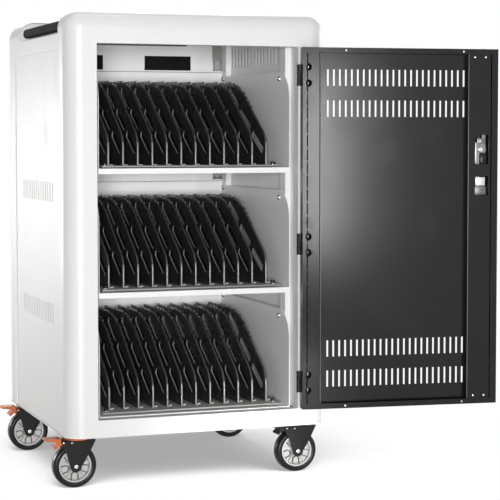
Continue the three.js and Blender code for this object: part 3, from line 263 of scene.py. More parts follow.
# %% A finish
def finish(name, colour, shift, rough, rough_worn, group, scale, depth, metal=0.0, coat=0.0, specular=0.5, worn=None):
    material = bpy.data.materials.new(name)
    material.use_nodes = True
    tree = material.node_tree
    shader = tree.nodes["Principled BSDF"]
    texture = tree.nodes.new("ShaderNodeGroup")
    texture.node_tree = group
    texture.inputs["Scale"].default_value = scale
    handling = tree.nodes.new("ShaderNodeGroup")
    handling.node_tree = marks
    tone = tree.nodes.new("ShaderNodeMix")
    tone.data_type = "RGBA"
    tone.inputs["A"].default_value = (*[c * (1 - shift) for c in colour], 1)
    tone.inputs["B"].default_value = (*[min(1, c * (1 + shift)) for c in colour], 1)
    rubbed = tree.nodes.new("ShaderNodeMix")
    rubbed.data_type = "RGBA"
    rubbed.inputs["B"].default_value = (*(worn or [c * 0.93 for c in colour]), 1)
    fade = tree.nodes.new("ShaderNodeMath")
    fade.operation = "MULTIPLY"
    fade.inputs[1].default_value = 0.35
    gloss = tree.nodes.new("ShaderNodeMapRange")
    gloss.inputs["To Min"].default_value = rough
    gloss.inputs["To Max"].default_value = rough_worn
    bump = tree.nodes.new("ShaderNodeBump")
    bump.inputs["Strength"].default_value = 1.0
    bump.inputs["Distance"].default_value = depth * 0.001
    tree.links.new(texture.outputs["Mottle"], tone.inputs["Factor"])
    tree.links.new(tone.outputs["Result"], rubbed.inputs["A"])
    tree.links.new(handling.outputs["Scratch"], fade.inputs[0])
    tree.links.new(fade.outputs[0], rubbed.inputs["Factor"])
    tree.links.new(handling.outputs["Mask"], gloss.inputs["Value"])
    tree.links.new(texture.outputs["Height"], bump.inputs["Height"])
    tree.links.new(rubbed.outputs["Result"], shader.inputs["Base Color"])
    tree.links.new(gloss.outputs["Result"], shader.inputs["Roughness"])
    tree.links.new(bump.outputs["Normal"], shader.inputs["Normal"])
    shader.inputs["Metallic"].default_value = metal
    shader.inputs["Coat Weight"].default_value = coat
    shader.inputs["Coat Roughness"].default_value = 0.25
    shader.inputs["Specular IOR Level"].default_value = specular
    return material


white_enamel = finish("white_enamel", (0.82, 0.82, 0.81), 0.012, 0.36, 0.46, peel, 700, 0.03)
side_enamel = finish("side_enamel", (0.80, 0.80, 0.785), 0.014, 0.42, 0.52, peel, 700, 0.03)
# The inner white is painted lighter than the outer white: painted light that brightens the bays.
inner_enamel_painted_light = finish("inner_enamel_painted_light", (0.91, 0.91, 0.90), 0.016, 0.40, 0.50, peel, 700, 0.03)
charcoal = finish("charcoal_coat", (0.006, 0.0061, 0.0068), 0.10, 0.165, 0.205, peel, 1500, 0.005, specular=0.3)
divider_black = finish("divider_black", (0.034, 0.034, 0.035), 0.2, 0.26, 0.4, grain, 1600, 0.02)
# Painted highlights on the dividers: a light grey for the lower nose and slot walls, a dark grey for the upper edges.
divider_highlight_grey = finish("divider_highlight_grey", (0.22, 0.22, 0.225), 0.1, 0.2, 0.32, grain, 1600, 0.01)
divider_edge_highlight = finish("divider_edge_highlight", (0.05, 0.05, 0.052), 0.1, 0.22, 0.34, grain, 1600, 0.01)
# A mid grey for the rack plates, also used for strips of painted shade on the partition.
rack_and_shade_grey = finish("rack_and_shade_grey", (0.30, 0.295, 0.285), 0.08, 0.42, 0.55, peel, 900, 0.03)
black_plastic = finish("black_plastic", (0.014, 0.014, 0.015), 0.15, 0.46, 0.6, grain, 1800, 0.05)
grip_rubber = finish("grip_rubber", (0.010, 0.010, 0.0105), 0.15, 0.75, 0.85, grain, 1800, 0.05, specular=0.06)
black_steel = finish("black_steel", (0.012, 0.012, 0.013), 0.12, 0.34, 0.48, peel, 900, 0.04, specular=0.2)
zinc_plate = finish("zinc_plate", (0.62, 0.62, 0.63), 0.08, 0.26, 0.42, brush, 260, 0.01, metal=1.0)
works_zinc = finish("works_zinc", (0.17, 0.17, 0.175), 0.1, 0.3, 0.45, brush, 260, 0.01, metal=1.0)
# A mid grey for painted highlights along the bent edges of the door's channels.
edge_highlight_grey = finish("edge_highlight_grey", (0.30, 0.30, 0.31), 0.1, 0.3, 0.4, peel, 1500, 0.005)
chrome_plate = finish("chrome_plate", (0.72, 0.73, 0.74), 0.03, 0.1, 0.2, brush, 400, 0.003, metal=1.0)
orange_plastic = finish("orange_plastic", (0.56, 0.135, 0.03), 0.08, 0.38, 0.5, grain, 1500, 0.03)
hub_grey = finish("hub_grey", (0.56, 0.555, 0.54), 0.06, 0.42, 0.55, grain, 1400, 0.04)
# A dark grey for the painted shade of the grooves round the hub's arches.
hub_groove_shade = finish("hub_groove_shade", (0.09, 0.088, 0.082), 0.06, 0.5, 0.6, grain, 1400, 0.04)
tyre_black = finish("tyre_black", (0.008, 0.008, 0.008), 0.15, 0.3, 0.42, grain, 1200, 0.02, specular=0.2,
                    worn=(0.012, 0.012, 0.012))
# A near-black for painted shade: dark sheets behind slots and windows, and the shaded insides of the lock channel.
shade_black = finish("shade_black", (0.006, 0.006, 0.006), 0.2, 0.6, 0.7, grain, 1500, 0.02, specular=0.1)
print("finishes", len(bpy.data.materials))

# %% [markdown]
# ## The workshop
# Four helpers do most of the cutting. `block` and `rod` start a shape from Blender's own cube and cone, `part` closes
# a piece: it carries the mesh to its bench, shades it smooth up to a sharp angle, adds a fine Bevel for the light to
# catch and hangs the piece on its CAD body. `borrowed` copies a CAD solid, merges its loose triangles and dissolves
# the flat ones, which is the quickest honest start for a folded sheet that is already right.

# %% Helpers
def block(bm, x, y, z, round_edges=0.0, steps=3):
    made = bmesh.ops.create_cube(bm, size=1)["verts"]
    size = Matrix.Diagonal((x[1] - x[0], y[1] - y[0], z[1] - z[0], 1))
    middle = Matrix.Translation(((x[0] + x[1]) / 2, (y[0] + y[1]) / 2, (z[0] + z[1]) / 2))
    bmesh.ops.transform(bm, matrix=middle @ size, verts=made)
    if round_edges:
        edges = list({e for v in made for e in v.link_edges})
        bmesh.ops.bevel(
            bm, geom=edges, offset=round_edges, segments=steps, profile=0.5, affect="EDGES", material=-1)
    return made


TURN = {"X": Matrix.Rotation(pi / 2, 4, "Y"), "Y": Matrix.Rotation(-pi / 2, 4, "X"), "Z": Matrix.Identity(4)}


def rod(bm, axis, middle, radius, length, sides=24, end_round=0.0, far_radius=None):
    made = bmesh.ops.create_cone(
        bm, cap_ends=True, segments=sides, radius1=radius, radius2=far_radius or radius, depth=length)["verts"]
    bmesh.ops.transform(bm, matrix=Matrix.Translation(middle) @ TURN[axis], verts=made)
    if end_round:
        rims = [e for e in {e for v in made for e in v.link_edges} if any(len(f.verts) > 4 for f in e.link_faces)]
        bmesh.ops.bevel(bm, geom=rims, offset=end_round, segments=3, profile=0.5, affect="EDGES", material=-1)
    return made


def borrowed(node):
    bm = bmesh.new()
    bm.from_mesh(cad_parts[node].data)
    bmesh.ops.remove_doubles(bm, verts=bm.verts, dist=1e-5)
    bmesh.ops.dissolve_limit(bm, angle_limit=radians(0.5), verts=bm.verts, edges=bm.edges)
    return bm


def part(name, bm, bench, look, body, stands_for=(), soft_edge=0.0, wall=0.0, sharp=35):
    if bench is not None:
        bm.transform(bench)
    mesh = bpy.data.meshes.new(name)
    bm.to_mesh(mesh)
    bm.free()
    for material in look if isinstance(look, tuple) else (look,):
        mesh.materials.append(material)
    mesh.shade_smooth()
    mesh.set_sharp_from_angle(angle=radians(sharp))
    piece = bpy.data.objects.new(name, mesh)
    scene.collection.objects.link(piece)
    if wall:
        thicken = piece.modifiers.new("wall", "SOLIDIFY")
        thicken.thickness = wall * 0.001
        thicken.offset = -1
        thicken.use_even_offset = True
    if soft_edge:
        ease = piece.modifiers.new("soft_edge", "BEVEL")
        ease.width = soft_edge * 0.001
        ease.segments = 2
        ease.limit_method = "ANGLE"
        ease.angle_limit = radians(40)
    if wall or soft_edge:
        flats = piece.modifiers.new("flats", "WEIGHTED_NORMAL")
        flats.keep_sharp = True
    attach(piece, body)
    if stands_for:
        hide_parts(*stands_for)
    return piece


def outline_plate(outline, axis, span, round_corners=0.0):
    bm = bmesh.new()
    stand = {"X": lambda u, v: (span[0], u, v), "Y": lambda u, v: (u, span[0], v), "Z": lambda u, v: (u, v, span[0])}
    flat = bm.faces.new([bm.verts.new(stand[axis](u, v)) for u, v in outline])
    grown = bmesh.ops.extrude_face_region(bm, geom=[flat])["geom"]
    push = Vector([(span[1] - span[0]) * (letter == axis) for letter in "XYZ"])
    bmesh.ops.translate(bm, vec=push, verts=[g for g in grown if isinstance(g, bmesh.types.BMVert)])
    bmesh.ops.recalc_face_normals(bm, faces=bm.faces)
    if round_corners:
        across = [e for e in bm.edges if abs((e.verts[1].co - e.verts[0].co).normalized().dot(push.normalized())) > 0.99]
        bmesh.ops.bevel(bm, geom=across, offset=round_corners, segments=4, profile=0.5, affect="EDGES", material=-1)
    return bm


def join(bm, one, place=None):
    if place is not None:
        one.transform(place)
    holder = bpy.data.meshes.new("joined")
    one.to_mesh(holder)
    one.free()
    bm.from_mesh(holder)
    bpy.data.meshes.remove(holder)


print("helpers ready")

# %% [markdown]
# ## Rounded body
# Front and rear frames are cut from one form: a box whose four uprights roll over at 46 mm and whose top edge rolls
# at 40 mm. Two bevels make it, uprights first, because the second bevel then follows the rounded plan without a
# pinch. Modelling the frames apart would leave the rolls a hair different, and the eye finds that along the top.

# %% The whole form
FRONT, BACK, SIDE, FLOOR, TOP = -325, 325, 327.5, 130, 1130


def body_form():
    bm = bmesh.new()
    block(bm, (-SIDE, SIDE), (FRONT, BACK), (FLOOR, TOP))
    corners = [e for e in bm.edges if abs(e.verts[0].co.z - e.verts[1].co.z) > 1]
    bmesh.ops.bevel(bm, geom=corners, offset=46, segments=16, profile=0.5, affect="EDGES", material=-1)
    rim = [e for e in bm.edges if min(v.co.z for v in e.verts) > TOP - 1]
    bmesh.ops.bevel(bm, geom=rim, offset=40, segments=12, profile=0.5, affect="EDGES", material=-1)
    return bm


def saw(bm, point, normal, faces=None, drop=False):
    chosen = faces if faces is not None else bm.faces[:]
    geom = list({*chosen, *(e for f in chosen for e in f.edges), *(v for f in chosen for v in f.verts)})
    bmesh.ops.bisect_plane(bm, geom=geom, dist=1e-4, plane_co=point, plane_no=normal, clear_outer=drop)


def window(bm, y, x, z):
    on_wall = lambda f: all(abs(v.co.y - y) < 0.01 for v in f.verts)
    for point, normal in (((x[0], 0, 0), (1, 0, 0)), ((x[1], 0, 0), (1, 0, 0)), ((0, 0, z[0]), (0, 0, 1)), ((0, 0, z[1]), (0, 0, 1))):
        saw(bm, point, normal, [f for f in bm.faces if on_wall(f)])
    inside = lambda c: x[0] < c.x < x[1] and z[0] < c.z < z[1]
    pane = [f for f in bm.faces if on_wall(f) and inside(f.calc_center_median())]
    rim = [e for e in {e for f in pane for e in f.edges} if len([f for f in e.link_faces if f in pane]) == 1]
    bmesh.ops.delete(bm, geom=pane, context="FACES_ONLY")
    return rim


def turn_in(bm, rim, depth, ease):
    grown = bmesh.ops.extrude_edge_only(bm, edges=rim)["geom"]
    bmesh.ops.translate(bm, vec=(0, depth, 0), verts=[g for g in grown if isinstance(g, bmesh.types.BMVert)])
    lip = [e for e in rim if e.is_valid]
    bmesh.ops.bevel(bm, geom=lip, offset=ease, segments=3, profile=0.5, affect="EDGES", material=-1)


def face_out(bm, middle):
    bmesh.ops.recalc_face_normals(bm, faces=bm.faces)
    probe = max(bm.faces, key=lambda f: f.calc_area())
    if (probe.calc_center_median() - Vector(middle)).dot(probe.normal) < 0:
        bmesh.ops.reverse_faces(bm, faces=bm.faces)


print("body form ready")

# %% [markdown]
# ## Front frame
# The front moulding is the part of the form ahead of the seam. Four saw cuts on its flat face make the door opening,
# and the rim of the hole is extruded 30 mm inwards as the return that the door shuts into. A Solidify modifier then
# gives the skin its 2.5 mm wall. Cutting the hole before thickening keeps the return and the skin one sheet.

# %% Front frame
bm = body_form()
saw(bm, (0, -253, 0), (0, 1, 0), drop=True)
rim = window(bm, FRONT, (-251.5, 251.5), (172, 1054))
turn_in(bm, rim, 30, 2.0)
bmesh.ops.remove_doubles(bm, verts=bm.verts, dist=0.01)
face_out(bm, (0, -200, 600))
front = part("front_frame_skin", bm, CABINET, white_enamel, "cabinet", ["front_frame"], 0.5, 2.5)


def closing_wall(node, y_from, y_to):
    bm = borrowed(node)
    back = CABINET.inverted()
    far = [f for f in bm.faces if not all(y_from - 0.1 < (back @ v.co).y < y_to + 0.1 for v in f.verts)]
    bmesh.ops.delete(bm, geom=far, context="FACES")
    return bm


part("front_closing_wall", closing_wall("front_frame", -255.5, -253), None, white_enamel, "cabinet")
print("front frame", front.dimensions)

# %% [markdown]
# ## Rear frame
# The rear moulding is deeper at the top, where it runs forward as the land behind the hand pockets. The form is cut at
# the forward plane, and the lower part is then trimmed back to the seam. The rear opening is turned in as at the front,
# and a small window in the sill takes the mains inlet.

# %% Rear frame
bm = body_form()
saw(bm, (0, 176, 0), (0, -1, 0), drop=True)
saw(bm, (0, 0, 1041), (0, 0, 1))
saw(bm, (0, 221, 0), (0, 1, 0))
low_front = [f for f in bm.faces if f.calc_center_median().z < 1041 and f.calc_center_median().y < 221]
bmesh.ops.delete(bm, geom=low_front, context="FACES")
turn_in(bm, window(bm, BACK, (-260, 260), (210, 1050)), -24, 2.0)
window(bm, BACK, (164.6, 195.4), (157.6, 182.4))
bmesh.ops.remove_doubles(bm, verts=bm.verts, dist=0.01)
face_out(bm, (0, 200, 600))
rear = part("rear_frame_skin", bm, CABINET, white_enamel, "cabinet", ["rear_frame"], 0.5, 2.5)
part("rear_closing_wall", closing_wall("rear_frame", 176, 178.5), None, white_enamel, "cabinet")
print("rear frame", rear.dimensions)

# %% [markdown]
# ## Sunken top
# Between the frames the top is one folded sheet: a hand pocket along each side and a raised panel between. It is drawn
# as a line in section, drawn out along the cart, and its folds are rounded with one bevel. A skirt stands on each
# outer edge; it is a separate strip on the real cart and here.

# %% Sunken top
bm = bmesh.new()
section = [(-325, 1074), (-267.5, 1074), (-267.5, 1106), (267.5, 1106), (267.5, 1074), (325, 1074)]
line = [bm.verts.new((x, -252.6, z)) for x, z in section]
edges = [bm.edges.new(pair) for pair in zip(line, line[1:])]
grown = bmesh.ops.extrude_edge_only(bm, edges=edges)["geom"]
bmesh.ops.translate(bm, vec=(0, 428.2, 0), verts=[g for g in grown if isinstance(g, bmesh.types.BMVert)])
folds = [e for e in bm.edges if len(e.link_faces) == 2]
bmesh.ops.bevel(bm, geom=folds, offset=12, segments=8, profile=0.5, affect="EDGES", material=-1)
bmesh.ops.recalc_face_normals(bm, faces=bm.faces)
if max(bm.faces, key=lambda f: f.calc_area()).normal.z < 0:
    bmesh.ops.reverse_faces(bm, faces=bm.faces)
cap = part("sunken_top", bm, CABINET, white_enamel, "cabinet", ["top_cap"], 0.5, 2.5)
bm = bmesh.new()
sweep = [(127.6 + 48 * sin(radians(a)), 1097 - 18 * cos(radians(a))) for a in range(90, -1, -9)]
skirt = [(-252.6, 1079), (-252.6, 1041), (175.6, 1041)] + sweep
for side in (-1, 1):
    join(bm, outline_plate(skirt, "X", sorted((side * 325, side * 327.5))))
part("top_skirts", bm, CABINET, white_enamel, "cabinet", soft_edge=0.6)
print("sunken top", cap.dimensions)

# %% [markdown]
# ## Grip bars
# A black bar runs back from the front frame over each hand pocket and ends short of the rear one, on a stud. It is a
# block whose rear end is bevelled to a half round first, so that the second bevel, along its sides, can follow the
# curve in one sweep.

# %% Grip bars
for name, side in (("left", -1), ("right", 1)):
    bm = bmesh.new()
    block(bm, sorted((side * 298.5, side * 320.5)), (-252.7, 152), (1087.5, 1110.5))
    end = [e for e in bm.edges if all(v.co.y > 0 for v in e.verts) and abs(e.verts[0].co.x - e.verts[1].co.x) > 1]
    bmesh.ops.bevel(bm, geom=end, offset=11.4, segments=10, profile=0.5, affect="EDGES", material=-1)
    cheeks = [f for f in bm.faces if abs(f.normal.x) > 0.9]
    sides = [e for f in cheeks for e in f.edges if any(v.co.y > -250 for v in e.verts)]
    bmesh.ops.bevel(bm, geom=sides, offset=6.5, segments=5, profile=0.5, affect="EDGES", material=-1)
    rod(bm, "Y", (side * 309.5, 162, 1099), 5, 27.2, 20)
    part(f"{name}_grip", bm, CABINET, grip_rubber, "cabinet", [f"{name}_grip_bar"])
print("grip bars made")

# %% [markdown]
# ## Folded sheets
# Side panels, base pan, trays, posts, partition and the rear door are plain folded sheet steel, and their CAD solids
# already have every hole and fold. A merged copy with a half-millimetre bevel is all they need: the bevel is what
# makes a cut edge read as steel, because it catches a thin line of light.

# %% Sheets
SHEETS = {
    "left_side_panel": (side_enamel, "enamel_side"), "right_side_panel": (side_enamel, "enamel_side"),
    "base_pan": (side_enamel, "enamel_side"), "partition": (inner_enamel_painted_light, "enamel_inner"),
    "tray_top": (inner_enamel_painted_light, "enamel_inner"), "tray_middle": (inner_enamel_painted_light, "enamel_inner"),
    "tray_bottom": (inner_enamel_painted_light, "enamel_inner"), "upright_front_left": (inner_enamel_painted_light, "enamel_inner"),
    "upright_front_right": (inner_enamel_painted_light, "enamel_inner"), "upright_rear_left": (inner_enamel_painted_light, "enamel_inner"),
    "upright_rear_right": (inner_enamel_painted_light, "enamel_inner"),
}
for node, (look, slot) in SHEETS.items():
    part(node + "_sheet", borrowed(node), None, look, "cabinet", [node], 0.4)
part("rear_door_sheet", borrowed("rear_door"), None, white_enamel, "rear_door", ["rear_door"], 0.5)
print("sheets", len(SHEETS) + 1)

# %% [markdown]
# ## Dividers
# Twelve moulded dividers stand in each bay. A divider is a thin web inside a thicker rim, as a moulder makes a stiff
# plate from little plastic. Its side view is drawn once, its corners are rounded with a vertex bevel, and an inset
# parts web from rim. Three long cable slots are cut through the web with a Boolean, and small cable clips stand on the
# shoulder. The rim gets a round nose. The lower nose and the slot walls are painted light grey, and the upper nose and
# the up-facing slope a dark grey: these are painted highlights for the bright lines on the real ones.

# %% One divider
LEVELS = {"bottom": 174, "middle": 468, "top": 762}
PITCH = 36.6
SLOPE = 0.6635


def side_view(inset):
    bm = bmesh.new()
    outline = [(-237, 3), (204.6, 3), (204.6, 213), (19, 213), (-56, 195), (-237, 195 - 181 * SLOPE)]
    flat = bm.faces.new([bm.verts.new((0, y, z)) for y, z in outline])
    shoulder = [v for v in flat.verts if v.co.z > 50 and v.co.y < 100]
    bmesh.ops.bevel(bm, geom=shoulder, offset=24, segments=4, profile=0.5, affect="VERTICES", material=-1)
    web = next(iter(bm.faces))
    ring = bmesh.ops.inset_individual(bm, faces=[web], thickness=inset)["faces"]
    return bm, web, ring


def thicken(bm, half):
    grown = bmesh.ops.extrude_face_region(bm, geom=bm.faces[:])["geom"]
    top = {g for g in grown if isinstance(g, bmesh.types.BMVert)}
    bmesh.ops.translate(bm, vec=(half, 0, 0), verts=list(top))
    bmesh.ops.translate(bm, vec=(-half, 0, 0), verts=[v for v in bm.verts if v not in top])
    bmesh.ops.recalc_face_normals(bm, faces=bm.faces)


def rim():
    bm, web, ring = side_view(6)
    bmesh.ops.delete(bm, geom=[web], context="FACES_ONLY")
    thicken(bm, 2.3)
    outer = lambda f: abs(f.normal.x) < 0.1 and (f.calc_center_median() - Vector((0, 0, 100))).dot(f.normal) > 0
    edges = [e for f in bm.faces if outer(f) for e in f.edges if abs(e.verts[0].co.x - e.verts[1].co.x) < 0.1]
    bmesh.ops.bevel(bm, geom=edges, offset=1.8, segments=3, profile=0.5, affect="EDGES", material=-1)
    return bm


def slot_bar(bm, y, z, length, width, tilt):
    made = block(bm, (-8, 8), (-length / 2, length / 2), (-width / 2, width / 2))
    edges = [e for e in {e for v in made for e in v.link_edges} if abs(e.verts[0].co.x - e.verts[1].co.x) > 1]
    rounded = bmesh.ops.bevel(
        bm, geom=edges, offset=width * 0.35, segments=3, profile=0.5, affect="EDGES", material=-1)["verts"]
    verts = list({v for f in {f for v in rounded for f in v.link_faces} for v in f.verts})
    bmesh.ops.transform(bm, matrix=Matrix.Translation((0, y, z)) @ Matrix.Rotation(tilt, 4, "X"), verts=verts)


def mesh_object(name, bm):
    mesh = bpy.data.meshes.new(name)
    bm.to_mesh(mesh)
    bm.free()
    made = bpy.data.objects.new(name, mesh)
    scene.collection.objects.link(made)
    return made


def carve(blank, tool):
    cut = blank.modifiers.new("cut", "BOOLEAN")
    cut.operation = "DIFFERENCE"
    cut.solver = "EXACT"
    cut.object = tool
    bpy.context.view_layer.update()
    result = bpy.data.meshes.new_from_object(blank.evaluated_get(bpy.context.evaluated_depsgraph_get()))
    bm = bmesh.new()
    bm.from_mesh(result)
    for used in (blank, tool):
        bpy.data.objects.remove(used)
    return bm


web, inner, ring = side_view(5)
bmesh.ops.delete(web, geom=ring, context="FACES")
thicken(web, 1.2)
tools = bmesh.new()
for i in range(3):
    slot_bar(tools, -178 + 88.5 * i, 61 + 55.5 * i, 86, 18, radians(31))
bmesh.ops.recalc_face_normals(tools, faces=tools.faces)
pattern = carve(mesh_object("divider_web", web), mesh_object("divider_slots", tools))
bmesh.ops.dissolve_limit(pattern, angle_limit=radians(0.5), verts=pattern.verts, edges=pattern.edges)
join(pattern, rim())
clips = [(-74 - 17 * i, 184 - 17 * SLOPE * i, radians(33.6)) for i in range(4)]
clips += [(-38 + 20 * i, 200 + 4.8 * i, radians(13.5)) for i in range(3)]
clips += [(36 + 24 * i, 213.5, 0) for i in range(4)]
for y, z, tilt in clips:
    one = bmesh.new()
    block(one, (-2.6, 2.6), (-4.5, 4.5), (-3, 3), 1.0, 2)
    join(pattern, one, Matrix.Translation((0, y, z)) @ Matrix.Rotation(tilt, 4, "X"))
print("divider", len(pattern.faces), "faces")

# %% Racks
# Painted highlights: the lower nose and slot walls take material 1, the upper nose and up-facing slope faces material
# 2.
for f in pattern.faces:
    middle = f.calc_center_median()
    off_axis = cos(radians(31)) * (middle.z - 61) - sin(radians(31)) * (middle.y + 178)
    if f.normal.y < -0.3 and middle.y < -205:
        f.material_index = 1 if middle.z < 66 else 2
    elif abs(f.normal.x) < 0.3 and abs(off_axis) < 11:
        f.material_index = 1
    elif f.normal.z > 0.3 and f.normal.y < -0.2 and middle.y < 30 and middle.z > 60:
        f.material_index = 2
for bay, level in LEVELS.items():
    bm = bmesh.new()
    for i in range(12):
        join(bm, pattern.copy(), Matrix.Translation(((i - 5.5) * PITCH, 0, level)))
    part(f"dividers_{bay}", bm, CABINET, (divider_black, divider_highlight_grey, divider_edge_highlight), "cabinet",
         [f"divider_rack_{bay}"])
pattern.free()
print("racks made")

# %% [markdown]
# ## Rack bases
# Each set of dividers is clipped to a shallow steel plate that stands on small feet, so a dark line shows between the
# plate and the tray. Plate, front fold and feet are blocks; two thumb screws hold the plate to the tray.

# %% Small fixings
def screw(bm, at, facing, radius, height, recess=True):
    one = bmesh.new()
    bmesh.ops.create_cone(one, cap_ends=True, segments=14, radius1=radius, radius2=radius, depth=height)
    rims = [e for e in one.edges if all(v.co.z > 0 for v in e.verts)]
    bmesh.ops.bevel(one, geom=rims, offset=height * 0.6, segments=3, profile=0.5, affect="EDGES", material=-1)
    if recess:
        head = max(one.faces, key=lambda f: f.calc_center_median().z)
        bmesh.ops.inset_individual(one, faces=[head], thickness=radius * 0.2)
        bmesh.ops.translate(one, vec=(0, 0, -height * 0.4), verts=head.verts)
    turn = Vector(facing).to_track_quat("Z", "Y").to_matrix().to_4x4()
    join(bm, one, Matrix.Translation(at) @ turn)


for bay, level in LEVELS.items():
    bm = bmesh.new()
    block(bm, (-228, 228), (-274.5, 204.6), (level + 4.4, level + 6), 0.4, 2)
    block(bm, (-228, 228), (-276, -274.4), (level + 2.2, level + 6), 0.4, 2)
    for x in (-205, 0, 205):
        for y in (-240, 170):
            block(bm, (x - 9, x + 9), (y - 9, y + 9), (level + 0.3, level + 4.5), 0.5, 2)
    part(f"rack_base_{bay}", bm, CABINET, rack_and_shade_grey, "cabinet")
    # Small tabs at each divider foot; their light colour is a painted highlight for the bright triangles on the plate.
    bm = bmesh.new()
    for i in range(12):
        x = (i - 5.5) * PITCH
        join(bm, outline_plate([(x + 3, -235), (x + 15, -224), (x + 3, -214)], "Z", (level + 6.1, level + 8.4)))
    part(f"rack_highlight_tabs_{bay}", bm, CABINET, inner_enamel_painted_light, "cabinet")
    bm = bmesh.new()
    for x in (-214, 214):
        rod(bm, "Z", (x, -250, level + 6.9), 8, 1.2, 20, 0.3)
    part(f"rack_washers_{bay}", bm, CABINET, zinc_plate, "cabinet")
    bm = bmesh.new()
    for x in (-214, 214):
        rod(bm, "Z", (x, -250, level + 10.5), 5.5, 6, 16, 1.2)
    part(f"rack_screws_{bay}", bm, CABINET, black_steel, "cabinet")
print("rack bases made")

# %% [markdown]
# ## Bay fittings
# The trays are screwed to the posts near the top of their side walls. Behind them the partition has cable windows
# with a raised rim; in the two lower bays they are closed with blanking plates. A black strip runs along the head of
# the opening, from the left jamb nearly to the middle. Grey and near-black pieces paint the shade along each rear
# fence, in the notch at the top right of the partition, behind the top-bay windows and behind the liner vents.

# %% Bay fittings
bm = bmesh.new()
for level in LEVELS.values():
    for side in (-1, 1):
        for y, rise in ((-228, 218), (192, 230)):
            screw(bm, (side * 237.4, y, level + rise), (-side, 0, 0), 6.2, 6.6)
part("tray_screws", bm, CABINET, zinc_plate, "cabinet")
# A grey strip along the partition paints the shadow line at the top of each tray's rear fence.
bm = bmesh.new()
for level in LEVELS.values():
    block(bm, (-241, 241), (213.4, 214.4), (level + 246.6, level + 248.4))
part("partition_shadow_line", bm, CABINET, rack_and_shade_grey, "cabinet")

bm = bmesh.new()
for bay, level in LEVELS.items():
    for x0, x1 in ((-222, -92), (23, 153)):
        z0, z1 = level + 252, level + 290
        block(bm, (x0 - 3, x1 + 3), (213.2, 214.5), (z1, z1 + 3), 0.4, 2)
        block(bm, (x0 - 3, x1 + 3), (213.2, 214.5), (z0 - 3, z0), 0.4, 2)
        block(bm, (x0 - 3, x0), (213.2, 214.5), (z0, z1), 0.4, 2)
        block(bm, (x1, x1 + 3), (213.2, 214.5), (z0, z1), 0.4, 2)
        if bay != "top":
            block(bm, (x0 - 4, x1 + 4), (216.1, 217.3), (z0 - 4, z1 + 4), 0.3, 2)
part("window_rims", bm, CABINET, inner_enamel_painted_light, "cabinet")

bm = bmesh.new()
for side in (-1, 1):
    wall = sorted((side * 256.2, side * 257.7))
    block(bm, wall, (-292, 214), (134, 1022))
    block(bm, wall, (-292, 214), (1070, 1101))
    block(bm, wall, (-292, -169.5), (1022, 1070))
    for i in range(15):
        block(bm, wall, (-161.5 + 24 * i, -145.5 + 24 * i if i < 14 else 214), (1022, 1070))
part("inner_liners", bm, CABINET, inner_enamel_painted_light, "cabinet")
# Dark plates paint the shade behind the top-bay vents of the liners, and a dark sheet behind the partition paints the
# shade in the top-bay windows.
bm = bmesh.new()
for side in (-1, 1):
    block(bm, sorted((side * 257.9, side * 258.6)), (-174, 176), (1018, 1074))
block(bm, (-232, 164), (226, 227.2), (1006, 1060))
part("air_gap_shadow", bm, CABINET, shade_black, "cabinet")
# A grey plate paints the shade of the notch at the top right of the partition.
bm = bmesh.new()
block(bm, (214.5, 241.5), (213.5, 214.4), (1043, 1100))
part("partition_notch_shade", bm, CABINET, rack_and_shade_grey, "cabinet")

bm = bmesh.new()
block(bm, (-251, -25), (-300.6, -295.4), (1051.2, 1053.9), 1.0, 3)
part("head_black_strip", bm, CABINET, black_plastic, "cabinet")
print("bay fittings made")

# %% [markdown]
# ## Door panel and stiffeners
# The door is a folded tray of sheet steel: its skin, edges and lips come from the CAD solid. The stiffener at the hinge
# edge is rebuilt, because on the real door a row of long slits runs down the fold beside it; the plate is drawn as a
# flat filled curve with the access holes left out of it, and made a mesh before it is stood up.

# %% Door panel
part("door_sheet", borrowed("door_panel"), None, charcoal, "front_door", ["door_panel"], 0.35)
channel = borrowed("door_lock_channel")
# Faces of the lock channel that look towards the hinge are painted near-black, as painted shade inside the channel.
toward_hinge = (DOOR.to_3x3() @ Vector((1, 0, 0))).normalized()
for f in channel.faces:
    f.material_index = 1 if f.normal.dot(toward_hinge) > 0.7 else 0
part("lock_channel", channel, None, (charcoal, shade_black), "front_door", ["door_lock_channel"], 0.5)
HINGES = [(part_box(f"hinge_leaf_{n}")[0].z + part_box(f"hinge_leaf_{n}")[1].z) * 500 for n in ("top", "middle", "bottom")]
print("hinge levels", HINGES)


def filled(outlines, thickness):
    curve = bpy.data.curves.new("outline", "CURVE")
    curve.dimensions = "2D"
    curve.fill_mode = "BOTH"
    curve.extrude = thickness / 2
    for points in outlines:
        line = curve.splines.new("POLY")
        line.points.add(len(points) - 1)
        for point, (u, v) in zip(line.points, points):
            point.co = (u, v, 0, 1)
        line.use_cyclic_u = True
    drawn = bpy.data.objects.new("outline", curve)
    scene.collection.objects.link(drawn)
    bpy.context.view_layer.update()
    mesh = bpy.data.meshes.new_from_object(drawn.evaluated_get(bpy.context.evaluated_depsgraph_get()))
    bm = bmesh.new()
    bm.from_mesh(mesh)
    bmesh.ops.remove_doubles(bm, verts=bm.verts, dist=0.001)
    bmesh.ops.recalc_face_normals(bm, faces=bm.faces)
    bpy.data.objects.remove(drawn)
    return bm


# %% Hinge stiffener
def circle(u, v, radius, sides=20):
    return [(u + radius * cos(2 * pi * i / sides), v + radius * sin(2 * pi * i / sides)) for i in range(sides)]


